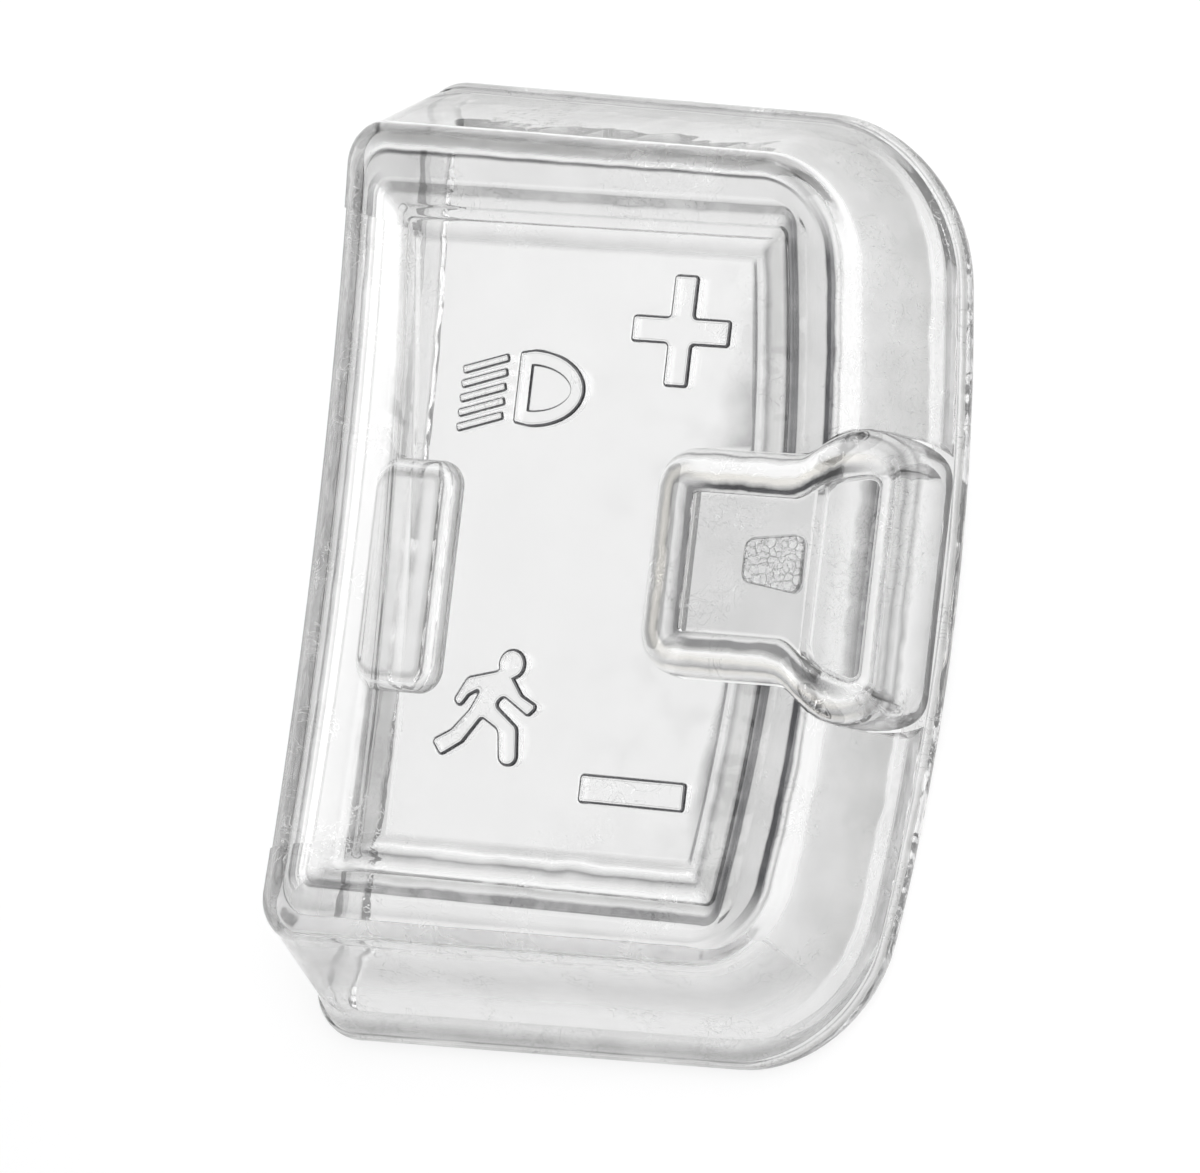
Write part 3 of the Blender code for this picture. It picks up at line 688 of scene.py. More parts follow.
class Marks:
    """The marks of some solids as they were before cutting, to mark what is cut out of them.

    A third mark, "step", grows from 0 on the first solid's surface to 1 where a full step was
    taken off, and places a painted highlight on the step's little wall. A flat underside counts as
    stepped too, so that no opening's wall is a step's wall.
    """

    names: tuple[str, ...] = ("across", "ends")
    step_name: str = "step"
    full_step: float = 0.1 * MM
    flatness: float = 0.01 * MM
    turn_cost: float = 0.3 * MM

    def __init__(self, solids: Sequence[bpy.types.Object], underside: float) -> None:
        """Keeps each solid's surface with its marks.

        Args:
            solids: The solids, the one that is stepped first.
            underside: The height of its flat underside.
        """
        self.underside = underside
        self.kept: list[tuple[BMesh, BVHTree]] = []
        for solid in solids:
            bm = bmesh.new()
            bm.from_mesh(solid.data)
            bm.faces.ensure_lookup_table()
            self.kept.append((bm, BVHTree.FromBMesh(bm)))

    def source(self, face: bpy.types.MeshPolygon) -> int:
        """Finds which solid a worked face came from: the nearest one that faces the same way.

        Args:
            face: The worked solid's face.

        Returns:
            The number of the kept solid.
        """
        costs = []
        for _, tree in self.kept:
            _, normal, _, distance = tree.find_nearest(face.center)
            costs.append(distance + self.turn_cost * (1 - normal.dot(face.normal)))
        return costs.index(min(costs))

    def read(self, place: Vector, which: int) -> tuple[float, ...]:
        """Reads the marks at the nearest spot of a kept surface.

        Args:
            place: The place on the worked solid.
            which: The number of the kept solid.

        Returns:
            The kept marks in the order of their names, and the step.
        """
        bm, tree = self.kept[which]
        spot, _, index, distance = tree.find_nearest(place)
        corners = bm.faces[index].verts
        weights = poly_3d_calc([corner.co for corner in corners], spot)
        layers = [bm.verts.layers.float[name] for name in self.names]
        marks = [sum(w * c[layer] for w, c in zip(weights, corners)) for layer in layers]
        flat = abs(place.z - self.underside) < self.flatness
        return (*marks, 1.0 if which or flat else min(distance / self.full_step, 1.0))

    def lay_on(self, worked: bpy.types.Object) -> None:
        """Marks every face corner of a worked solid from the surface that its face came from.

        Args:
            worked: The solid, cut and united.
        """
        mesh = worked.data
        names = (*self.names, self.step_name)
        for name in self.names:
            if name in mesh.attributes:
                mesh.attributes.remove(mesh.attributes[name])
        read: dict[tuple[int, int], tuple[float, ...]] = {}
        values = [[0.0] * len(mesh.loops) for _ in names]
        for face in mesh.polygons:
            which = self.source(face)
            for loop, vert in zip(face.loop_indices, face.vertices):
                if (vert, which) not in read:
                    read[vert, which] = self.read(mesh.vertices[vert].co, which)
                for run, value in zip(values, read[vert, which]):
                    run[loop] = value
        for name, run in zip(names, values):
            mesh.attributes.new(name, "FLOAT", "CORNER").data.foreach_set("value", run)
        for bm, _ in self.kept:
            bm.free()


# ---------------------------------------------------------------------------------------------
# Finishes
# ---------------------------------------------------------------------------------------------


class Shade(Enum):
    """The painted shades of the light bands, from painted highlights to deep painted shade: a
    colour, and the share of light that passes straight through.
    """

    # The first two are painted highlights, white and warm; the greys from PALE down to DEEP are
    # painted shade
    GLINT = ("#FFFFFF", 0.6)
    WARM = ("#F8F4EC", 0.85)
    CLEAR = ("#FAFAFA", 0.93)
    PALE = ("#E2E2E2", 0.93)
    SILVER = ("#C8C8C8", 0.93)
    GREY = ("#ABABAA", 0.93)
    SMOKE = ("#868686", 0.93)
    SLATE = ("#5F5F60", 0.93)
    DEEP = ("#1E1E20", 0.93)


GLINT, WARM, CLEAR, PALE, SILVER, GREY, SMOKE, SLATE, DEEP = Shade
Stop = tuple[float, Shade]


@dataclass(frozen=True)
class PaintedLightBands:
    """Bands of bent light along a moulding's folds, laid on the surface where the folds are.

    A thick clear wall gathers light into bright and slate bands that follow its folds; here they
    are painted highlights and painted shade in the colour. Each side has its own run of stops: how
    far across the fold, and the painted shade there.
    """

    start: float
    end: float
    left: tuple[Stop, ...]
    right: tuple[Stop, ...]
    bottom: tuple[Stop, ...]
    top: tuple[Stop, ...]
    centre: tuple[float, float] = (0.0, 0.0)
    turn_half_mm: float = 2.0
    wander: float = 0.03
    ripple_mm: float = 3.0
    ripple_span: tuple[float, float] = (0.3, 0.7)
    fade: float = 0.5
    fade_mm: float = 5.0
    fade_span: tuple[float, float] = (0.4, 0.65)
    # How strongly the painted highlight on a parting step's wall turns the plastic white
    step_highlight: float = 1.2

    def run(
        self, tree: bpy.types.NodeTree, share: bpy.types.Node, stops: Sequence[Stop]
    ) -> bpy.types.Node:
        """Adds the colour ramp of one side.

        Args:
            tree: The material's nodes.
            share: The node that gives the share of the way from start to end.
            stops: The side's stops.

        Returns:
            The ramp: its painted colour, and as its alpha the share of light that passes straight
                through.
        """
        run = add_node(tree, "ValToRGB", {0: share})
        points = run.color_ramp.elements
        points.remove(points[1])
        for k, (across, shade) in enumerate(stops):
            place = (across - self.start) / (self.end - self.start)
            point = points.new(place) if k else points[0]
            point.position = place
            point.color = (*linear(shade.value[0])[:3], shade.value[1])
        return run

    def drawn(
        self, tree: bpy.types.NodeTree, in_mm: bpy.types.Node
    ) -> tuple[bpy.types.NodeSocket, bpy.types.NodeSocket]:
        """Adds the nodes of the painted highlight and shade bands.

        Args:
            tree: The material's nodes.
            in_mm: The node that gives the place in millimetres.

        Returns:
            The painted colour of the highlight and shade bands, and the share of light that passes
            straight through.
        """
        add = partial(add_node, tree)
        across, ends = (
            add("Attribute", attribute_type="GEOMETRY", attribute_name=name).outputs["Fac"]
            for name in Marks.names
        )
        ripple = add("TexNoise", {"Vector": in_mm, "Scale": 1 / self.ripple_mm, "Detail": 3.0})
        low, high = self.ripple_span
        sway = add("MapRange", {0: ripple, 1: low, 2: high, 3: -self.wander, 4: self.wander})
        swayed = add("Math", {0: across, 1: sway}, operation="ADD")
        share = add("MapRange", {0: swayed, 1: self.start, 2: self.end})
        sides = (self.left, self.right, self.top, self.bottom)
        runs = [self.run(tree, share, stops) for stops in sides]
        place = add("SeparateXYZ", {0: in_mm})
        (x, y), half = self.centre, self.turn_half_mm
        rightness = add("MapRange", {0: place.outputs[0], 1: x - half, 2: x + half})
        lowness = add("MapRange", {0: place.outputs[1], 1: y + half, 2: y - half})
        blended = []
        for kind, output, first, result in (("RGBA", "Color", 6, 2), ("FLOAT", "Alpha", 2, 0)):
            pair = [
                add(
                    "Mix",
                    {0: turn, first: a.outputs[output], first + 1: b.outputs[output]},
                    data_type=kind,
                ).outputs[result]
                for turn, a, b in ((rightness, *runs[:2]), (lowness, *runs[2:]))
            ]
            mixed = add("Mix", {0: ends, first: pair[0], first + 1: pair[1]}, data_type=kind)
            blended.append(mixed.outputs[result])
        # The painted bands come and go along the folds
        patches = add("TexNoise", {"Vector": in_mm, "Scale": 1 / self.fade_mm, "Detail": 2.0})
        low, high = self.fade_span
        faint = add("MapRange", {0: patches, 1: low, 2: high, 3: 1.0, 4: 1.0 - self.fade})
        faded = add("Gamma", {0: blended[0], 1: faint})
        # Adds the painted highlight along the parting step
        return self.with_painted_step_highlight(tree, faded.outputs[0], blended[1])

    def with_painted_step_highlight(
        self, tree: bpy.types.NodeTree, colour: bpy.types.NodeSocket, clear: bpy.types.NodeSocket
    ) -> tuple[bpy.types.NodeSocket, bpy.types.NodeSocket]:
        """Paints a highlight on the little wall of a parting step: a pale painted line along it.

        Args:
            tree: The material's nodes.
            colour: The plastic's colour.
            clear: The share of light that passes straight through.

        Returns:
            Both, with a painted highlight along the step.
        """
        add = partial(add_node, tree)
        step = add("Attribute", attribute_type="GEOMETRY", attribute_name=Marks.step_name)
        # The painted highlight: nothing on either surface, and most halfway down the little wall
        wall = add("Math", {0: step.outputs["Fac"], 1: 0.5}, operation="PINGPONG")
        white = linear(Shade.GLINT.value[0])
        pale = add("Mix", {0: wall, 6: colour, 7: white}, data_type="RGBA")
        step_highlighted_clear = add(
            "Math", {0: wall, 1: -self.step_highlight, 2: clear}, operation="MULTIPLY_ADD", use_clamp=True
        )
        return pale.outputs[2], step_highlighted_clear.outputs[0]


# Painted highlights and painted shade across the face's folds, one run for each side
FACE_PAINTED_BANDS = PaintedLightBands(
    start=-4.0,
    end=6.4,
    left=(
        (-4.0, SILVER), (-3.85, GREY), (-3.65, PALE), (-3.45, GLINT), (-3.3, PALE), (-3.2, GREY),
        (-3.1, SILVER), (-3.0, CLEAR), (-0.1, CLEAR), (0.0, SILVER), (0.1, GREY), (0.25, GREY),
        (0.4, SILVER), (0.6, GLINT), (1.1, GLINT), (1.3, SMOKE), (1.5, GREY), (1.9, PALE),
        (2.0, DEEP), (2.1, PALE), (2.4, GREY), (2.9, PALE), (3.3, CLEAR), (3.45, SLATE),
        (3.6, SLATE), (3.7, GLINT), (4.0, PALE), (4.9, SILVER), (6.0, SILVER), (6.4, CLEAR),
    ),
    right=(
        (-1.0, CLEAR), (-0.75, SLATE), (-0.4, SLATE), (0.0, PALE), (0.2, SLATE), (0.4, GREY),
        (0.7, GREY), (0.8, SLATE), (1.05, DEEP), (1.3, GREY), (2.5, SILVER), (2.8, SILVER),
        (2.9, DEEP), (3.15, DEEP), (3.25, PALE), (3.3, SMOKE), (3.4, GLINT), (3.9, GLINT),
        (4.1, SILVER), (4.9, GREY), (4.95, GLINT), (5.1, SILVER), (6.0, SILVER), (6.4, CLEAR),
    ),
    bottom=(
        (-1.0, CLEAR), (0.0, SILVER), (0.1, GLINT), (0.25, SILVER), (0.3, SLATE), (0.45, PALE),
        (0.65, GLINT), (0.8, GREY), (0.92, PALE), (0.98, SLATE), (1.02, SLATE), (1.1, PALE),
        (1.7, CLEAR), (2.7, SILVER), (3.0, CLEAR), (3.5, PALE), (4.5, PALE), (5.2, CLEAR),
        (5.5, SILVER), (5.75, GREY), (6.0, SILVER), (6.4, CLEAR),
    ),
    top=(
        (-1.0, CLEAR), (0.0, SILVER), (0.3, CLEAR), (0.9, PALE), (1.0, SMOKE), (1.05, SILVER),
        (1.6, CLEAR), (2.0, PALE), (2.6, PALE), (2.7, SLATE), (2.8, DEEP), (2.9, GLINT),
        (3.0, GLINT), (3.1, SILVER), (3.2, GREY), (3.6, SILVER), (3.7, GLINT), (3.85, GLINT),
        (3.95, GREY), (5.5, GREY), (5.8, SLATE), (6.0, SMOKE), (6.4, CLEAR),
    ),
    fade=0.3,
)

# Painted highlights, warm painted glints and painted shade round the thumb key's bead and slope
THUMB_PAINTED_BANDS = PaintedLightBands(
    start=-1.0,
    end=4.3,
    left=(
        (-1.0, GREY), (0.0, SLATE), (0.1, SMOKE), (0.2, SILVER), (0.5, PALE), (0.7, GLINT),
        (0.9, GREY), (1.0, WARM), (1.1, WARM), (1.2, SMOKE), (1.35, SILVER), (1.6, SLATE),
        (1.8, SLATE), (1.9, CLEAR), (2.1, SILVER), (2.3, PALE), (3.0, SILVER), (3.9, PALE),
        (4.3, CLEAR),
    ),
    right=(
        (-1.0, SLATE), (-0.7, SILVER), (-0.2, CLEAR), (0.0, SMOKE), (0.2, PALE), (0.5, SMOKE),
        (0.7, SILVER), (0.85, GREY), (1.0, PALE), (1.25, GLINT), (1.6, GLINT), (1.85, CLEAR),
        (2.0, SMOKE), (2.3, SLATE), (3.0, SILVER), (3.3, SLATE), (3.5, CLEAR), (3.7, CLEAR),
        (3.8, SMOKE), (4.0, DEEP), (4.3, CLEAR),
    ),
    bottom=(
        (-1.0, SILVER), (0.0, SLATE), (0.1, GREY), (0.4, CLEAR), (0.55, WARM), (0.65, SMOKE),
        (0.8, SILVER), (0.9, WARM), (1.1, GLINT), (1.2, GREY), (1.3, SLATE), (1.5, SLATE),
        (1.6, CLEAR), (1.8, GREY), (2.3, CLEAR), (3.0, SILVER), (3.9, PALE), (4.3, CLEAR),
    ),
    top=(
        (-1.0, SILVER), (0.0, SLATE), (0.1, GREY), (0.45, CLEAR), (0.55, SLATE), (0.65, PALE),
        (0.8, GLINT), (1.1, GLINT), (1.2, WARM), (1.3, WARM), (1.4, GREY), (1.5, DEEP),
        (1.65, DEEP), (1.75, PALE), (2.1, PALE), (3.0, SILVER), (3.9, PALE), (4.3, CLEAR),
    ),
    centre=(16.4, 0.7),
    wander=0.05,
    ripple_mm=2.0,
    fade=0.2,
)

# Painted shade on the signs: deep on their walls and rounded edges, with a grey line just inside
SIGN_EDGE_PAINTED_SHADE = (
    (0.0, DEEP), (2.15, DEEP), (2.35, SMOKE), (2.55, CLEAR), (3.0, CLEAR), (3.2, GREY),
    (3.35, GREY), (3.6, CLEAR), (4.0, CLEAR),
)
SIGN_PAINTED_BANDS = PaintedLightBands(0.0, 4.0, *[SIGN_EDGE_PAINTED_SHADE] * 4, wander=0.1, fade=0.15)

# Painted shade on the patch's wall and edge, grey just inside it
PATCH_EDGE_PAINTED_SHADE = ((0.0, SMOKE), (2.0, SMOKE), (2.2, GREY), (2.5, CLEAR), (4.0, CLEAR))
PATCH_PAINTED_BANDS = PaintedLightBands(0.0, 4.0, *[PATCH_EDGE_PAINTED_SHADE] * 4)

# Painted shade and painted light in thin bands over the rim bead
RIM_BEAD_PAINTED_LIGHT = (
    (0.0, SILVER), (0.4, SILVER), (0.5, SMOKE), (0.6, SILVER), (0.75, GREY), (0.9, CLEAR),
    (1.0, SMOKE), (1.2, CLEAR),
)
RIM_PAINTED_BANDS = PaintedLightBands(0.0, 2.0, *[RIM_BEAD_PAINTED_LIGHT] * 4)


@dataclass(frozen=True)
class ClearMoulding:
    """Injection-moulded clear elastomer: glossy from a polished mould, wavy where it shrank.

    The waves bend what is seen through the wall, and hair-fine flow wrinkles catch the lamps where
    the melt folded round the signs and corners. Its colour carries painted highlights and painted
    shade in bands along the folds.
    """

    # The painted highlight and shade bands along its folds
    painted_bands: PaintedLightBands
    name: str = "moulded clear elastomer"
    tint: str = "#FAFAFA"
    clear: float = 0.93
    ior: float = 1.47
    gloss: tuple[float, float] = (0.01, 0.035)
    gloss_span: tuple[float, float] = (0.35, 0.7)
    wave_mm: float = 5.5
    wave_depth: float = 0.045 * MM
    fold_wave_depth: float = 0.16 * MM
    satin: float = 0.14
    satin_span: tuple[float, float] = (0.25, 0.05)
    wrinkle_mm: float = 1.5
    wrinkle_depth: float = 0.012 * MM
    wrinkle_twist: float = 1.4
    wrinkle_half_width: float = 0.014
    cluster_mm: float = 6.5
    cluster_span: tuple[float, float] = (0.5, 0.6)
    panel_margin: float = 0.1
    scuff: float = 0.6
    lamp_light_kept: str = "#FDFDFD"
    depth_tint: str = "#959594"
    depth_density: float = 40.0

    def material(self) -> bpy.types.Material:
        """Makes the finish as a node material, once.

        Returns:
            The material.
        """
        made = bpy.data.materials.get(self.name)
        if made:
            return made
        made = bpy.data.materials.new(self.name)
        tree = bare_tree(made)
        add = partial(add_node, tree)
        place = add("TexCoord")
        in_mm = add("Mapping", {0: place.outputs["Object"], 3: (1 / MM, 1 / MM, 1 / MM)})
        shaded = self.surface(tree, in_mm)
        path = add("LightPath")
        # The wall lets the lamps through to the floor: a clear part that didn't would throw a
        # solid shadow
        through = add("BsdfTransparent", {0: linear(self.lamp_light_kept)})
        for ray in ("Is Shadow Ray", "Is Diffuse Ray"):
            shaded = add("MixShader", {0: path.outputs[ray], 1: shaded, 2: through})
        # A long way through the plastic is greyer, which draws the folds and the rim
        depth = add(
            "VolumeAbsorption", {"Color": linear(self.depth_tint), "Density": self.depth_density}
        )
        add("OutputMaterial", {0: shaded, 1: depth})
        return made

    def surface(self, tree: bpy.types.NodeTree, in_mm: bpy.types.Node) -> bpy.types.Node:
        """Adds the shader with its waves, wrinkles, painted light bands and gloss.

        Args:
            tree: The material's nodes.
            in_mm: The node that gives the place in millimetres.

        Returns:
            The shader node.
        """
        add = partial(add_node, tree)
        waves = add("TexNoise", {"Vector": in_mm, "Scale": 1 / self.wave_mm, "Detail": 2.0})
        threads = add(
            "TexNoise",
            {
                "Vector": in_mm,
                "Scale": 1 / self.wrinkle_mm,
                "Detail": 3.0,
                "Distortion": self.wrinkle_twist,
            },
        )
        off_middle = add("Math", {0: threads, 1: 0.5}, operation="SUBTRACT")
        apart = add("Math", {0: off_middle}, operation="ABSOLUTE")
        hair = add(
            "MapRange",
            {0: apart, 1: 0.0, 2: self.wrinkle_half_width, 3: 1.0, 4: 0.0},
            interpolation_type="SMOOTHSTEP",
        )
        clusters = add("TexNoise", {"Vector": in_mm, "Scale": 1 / self.cluster_mm, "Detail": 1.0})
        low, high = self.cluster_span
        where = add("MapRange", {0: clusters, 1: low, 2: high, 3: 0.0, 4: 1.0})
        mark = add("Attribute", attribute_type="GEOMETRY", attribute_name=Marks.names[0])
        across = mark.outputs["Fac"]
        # The flat panel came out of the mould smooth
        off_panel = PANEL_MARK + self.panel_margin
        on_folds = add("MapRange", {0: across, 1: PANEL_MARK, 2: off_panel, 3: 0.0, 4: where})
        wrinkles = add("Math", {0: hair, 1: on_folds}, operation="MULTIPLY")
        # The folds are thicker than the panel, so they shrank more
        depth = add(
            "MapRange",
            {0: across, 1: PANEL_MARK, 2: 0.0, 3: self.wave_depth, 4: self.fold_wave_depth},
        )
        wavy = add("Bump", {"Strength": 1.0, "Distance": depth, "Height": waves})
        wrinkled = add(
            "Bump",
            {"Strength": 1.0, "Distance": self.wrinkle_depth, "Height": wrinkles, "Normal": wavy},
        )
        low, high = self.gloss_span
        gloss = add("MapRange", {0: waves, 1: low, 2: high, 3: self.gloss[0], 4: self.gloss[1]})
        # The side pocket's top came from a satin insert
        from_top = add("Math", {0: across, 1: -POCKET_TOP_MARK}, operation="ADD")
        off_top = add("Math", {0: from_top}, operation="ABSOLUTE")
        far, near = self.satin_span
        satin = add("MapRange", {0: off_top, 1: far, 2: near, 3: 0.0, 4: self.satin})
        rough = add("Math", {0: gloss, 1: satin}, operation="ADD")
        # The plain tint and clearness stay behind the links of the painted bands, for what reads no
        # nodes
        shader = add(
            "BsdfPrincipled",
            {
                "Base Color": linear(self.tint),
                "Metallic": 0.0,
                "Roughness": rough,
                "IOR": self.ior,
                "Transmission Weight": self.clear,
                "Normal": wrinkled,
            },
        )
        # The base colour and the clearness take the painted highlights and painted shade along the
        # folds
        colour, clear = self.painted_bands.drawn(tree, in_mm)
        # The hair-fine wrinkles scatter a little light, so they show white on clear plastic
        scuffed = add(
            "Math",
            {0: wrinkles, 1: -self.scuff, 2: clear},
            operation="MULTIPLY_ADD",
            use_clamp=True,
        )
        tree.links.new(colour, shader.inputs["Base Color"])
        tree.links.new(scuffed.outputs[0], shader.inputs["Transmission Weight"])
        return shader


@dataclass(frozen=True)
class CrazedMoulding(ClearMoulding):
    """Elastomer moulded against an etched, crazed insert: frosted, with fine raised cracks."""

    name: str = "frosted crazed elastomer"
    tint: str = "#EDEEF0"
    gloss: tuple[float, float] = (0.1, 0.2)
    cell_mm: float = 0.62
    cell_sway: float = 0.9
    crack_half_width: float = 0.13
    crack_depth: float = 0.07 * MM
    lamp_light_kept: str = "#F7F8F8"

    def surface(self, tree: bpy.types.NodeTree, in_mm: bpy.types.Node) -> bpy.types.Node:
        """Adds the shader with its crazing over a frosted ground.

        Args:
            tree: The material's nodes.
            in_mm: The node that gives the place in millimetres.

        Returns:
            The shader node.
        """
        add = partial(add_node, tree)
        shader = super().surface(tree, in_mm)
        wander = add("TexNoise", {"Vector": in_mm, "Scale": 1 / (2 * self.cell_mm), "Detail": 3.0})
        sway = (self.cell_sway, self.cell_sway, self.cell_sway)
        bent = add(
            "VectorMath", {0: wander.outputs["Color"], 1: sway, 2: in_mm}, operation="MULTIPLY_ADD"
        )
        cells = add(
            "TexVoronoi", {"Vector": bent, "Scale": 1 / self.cell_mm}, feature="DISTANCE_TO_EDGE"
        )
        ridge = add(
            "MapRange",
            {0: cells.outputs["Distance"], 1: 0.0, 2: self.crack_half_width, 3: 1.0, 4: 0.0},
            interpolation_type="SMOOTHSTEP",
        )
        crazed = add("Bump", {"Strength": 1.0, "Distance": self.crack_depth, "Height": ridge})
        tree.links.new(crazed.outputs[0], shader.inputs["Normal"])
        return shader


@dataclass(frozen=True)
class StudioPaper:
    """Matt white background paper: an even pale floor with hardly any grain."""

    name: str = "matt white background paper"
    colour: str = "#F4F4F4"
    grain_scale: float = 900.0
    grain_span: tuple[float, float] = (0.3, 0.7)
    roughness: tuple[float, float] = (0.85, 0.95)
    sheen: float = 0.1

    def material(self) -> bpy.types.Material:
        """Makes the finish as a node material.

        Returns:
            The material.
        """
        made = bpy.data.materials.new(self.name)
        add = partial(add_node, bare_tree(made))
        place = add("TexCoord")
        grain = add("TexNoise", {"Vector": place.outputs["Object"], "Scale": self.grain_scale})
        (low, high), (smooth, coarse) = self.grain_span, self.roughness
        rough = add("MapRange", {0: grain, 1: low, 2: high, 3: smooth, 4: coarse})
        shader = add(
            "BsdfPrincipled",
            {
                "Base Color": linear(self.colour),
                "Roughness": rough,
                "Specular IOR Level": self.sheen,
            },
        )
        add("OutputMaterial", {0: shader})
        return made


def dress(
    piece: bpy.types.Object, finish: ClearMoulding, body: Body, nodes: Sequence[str]
) -> None:
    """Gives a piece its finish and ties it to the frame.

    Args:
        piece: The finished object.
        finish: Its material.
        body: The body it rides on.
        nodes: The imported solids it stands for.
    """
    piece.data.materials.clear()
    piece.data.materials.append(finish.material())
    piece.data.shade_smooth()
    piece.data.set_sharp_from_angle(angle=SHARP)
    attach(piece, body.value)
    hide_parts(*nodes)
    log.info("%s: %d faces, rides on %s", piece.name, len(piece.data.polygons), body.value)


# ---------------------------------------------------------------------------------------------
# Raised pads: the thumb key and the side pocket
# ---------------------------------------------------------------------------------------------


@dataclass(frozen=True)
class PadInset:
    """How far a line lies inside a pad's outline: at its left, its right and its long sides."""

    left: float = 0.0
    right: float = 0.0
    side: float = 0.0

    def deeper(self, length: float) -> PadInset:
        """The same inset, further in on every side."""
        return PadInset(self.left + length, self.right + length, self.side + length)

    def towards(self, other: PadInset, share: float) -> PadInset:
        """Goes a share of the way from this inset to another.

        Args:
            other: The other inset.
            share: How far it goes.

        Returns:
            The inset there.
        """
        return PadInset(
            self.left + (other.left - self.left) * share,
            self.right + (other.right - self.right) * share,
            self.side + (other.side - self.side) * share,
        )


PadLine = tuple[PadInset, float, float, float, float]


@dataclass(frozen=True)
class PadPlan:
    """A pad's plan: it may flare on its way to the right, and drop there."""

    length: float
    half_left: float
    half_right: float
    flare_start: float
    flare_end: float
    bend_start: float
    corner: float
    half_steps: int = 40
    # Whether the long sides take their own run of painted bands
    ends_have_own_painted_bands: bool = True
    least_corner: float = 0.25 * MM

    @staticmethod
    def corner_loss(distance: float, radius: float) -> float:
        """Works out how much narrower a rounded end is near its tip.

        Args:
            distance: How far from the tip.
            radius: The corner's radius.

        Returns:
            The loss to each side.
        """
        if distance >= radius:
            return 0.0
        return radius - math.sqrt(max(radius**2 - (radius - distance) ** 2, 0.0))

    def points(self, line: PadLine) -> Ring:
        """Draws one line round the pad.

        Args:
            line: Its inset, its height, its height at the far right, how far across the pad's
                edge it lies, and how far across at the far right.

        Returns:
            The lower run from left to right, then the upper run back.
        """
        inset, z, z_right, mark, mark_right = line
        left = inset.left - self.length / 2
        right = self.length / 2 - inset.right
        corner_left = max(self.corner - min(inset.left, inset.side), self.least_corner)
        corner_right = max(self.corner - min(inset.right, inset.side), self.least_corner)
        bend = self.bend_start - self.length / 2
        lower, upper = [], []
        for k in range(self.half_steps + 1):
            x = left + (right - left) * (1 - math.cos(math.pi * k / self.half_steps)) / 2
            along = (x + self.length / 2 - self.flare_start) / (self.flare_end - self.flare_start)
            half = self.half_left + (self.half_right - self.half_left) * smooth_step(along)
            half -= inset.side + self.corner_loss(x - left, corner_left)
            half -= self.corner_loss(right - x, corner_right)
            share = smooth_step((x - bend) / (right - bend))
            height = z + (z_right - z) * share
            across = (mark + (mark_right - mark) * share) * ACROSS
            lower.append(Vector((x, -half, height, across)))
            upper.append(Vector((x, half, height, across)))
        return lower + upper[::-1]

    def ends(self) -> list[float]:
        """Works out how far each point of a line belongs to the long sides, with their own painted
        bands.

        Returns:
            The shares: 1 along the long sides, 0 at the tips.
        """
        if not self.ends_have_own_painted_bands:
            return [0.0] * (2 * self.half_steps + 2)
        run = []
        for k in range(self.half_steps + 1):
            along = self.length * (1 - math.cos(math.pi * k / self.half_steps)) / 2
            run.append(smooth_step(min(along, self.length - along) / self.corner))
        return run + run[::-1]

    def solid(self, lines: Sequence[PadLine], radii: dict[int, float] | None = None) -> BMesh:
        """Builds the pad through its lines, with its underside and its face filled in strips.

        Args:
            lines: Its lines, from the underside to the face.
            radii: How far the rounding at a line reaches, by the line's number.

        Returns:
            The pad's mesh.
        """
        rings = softened([self.points(line) for line in lines], radii or {})
        skin = skin_through(rings, self.ends())
        skin.fill_in_strips()
        return skin.finished()

    def prism(self, grow: float, low: float, high: float) -> BMesh:
        """Builds a straight block over the pad's plan.

        Args:
            grow: How far it reaches past the pad.
            low: The height of its underside.
            high: The height of its top.

        Returns:
            Its mesh.
        """
        inset = PadInset(-grow, -grow, -grow)
        return self.solid([(inset, low, low, BEYOND, BEYOND), (inset, high, high, BEYOND, BEYOND)])


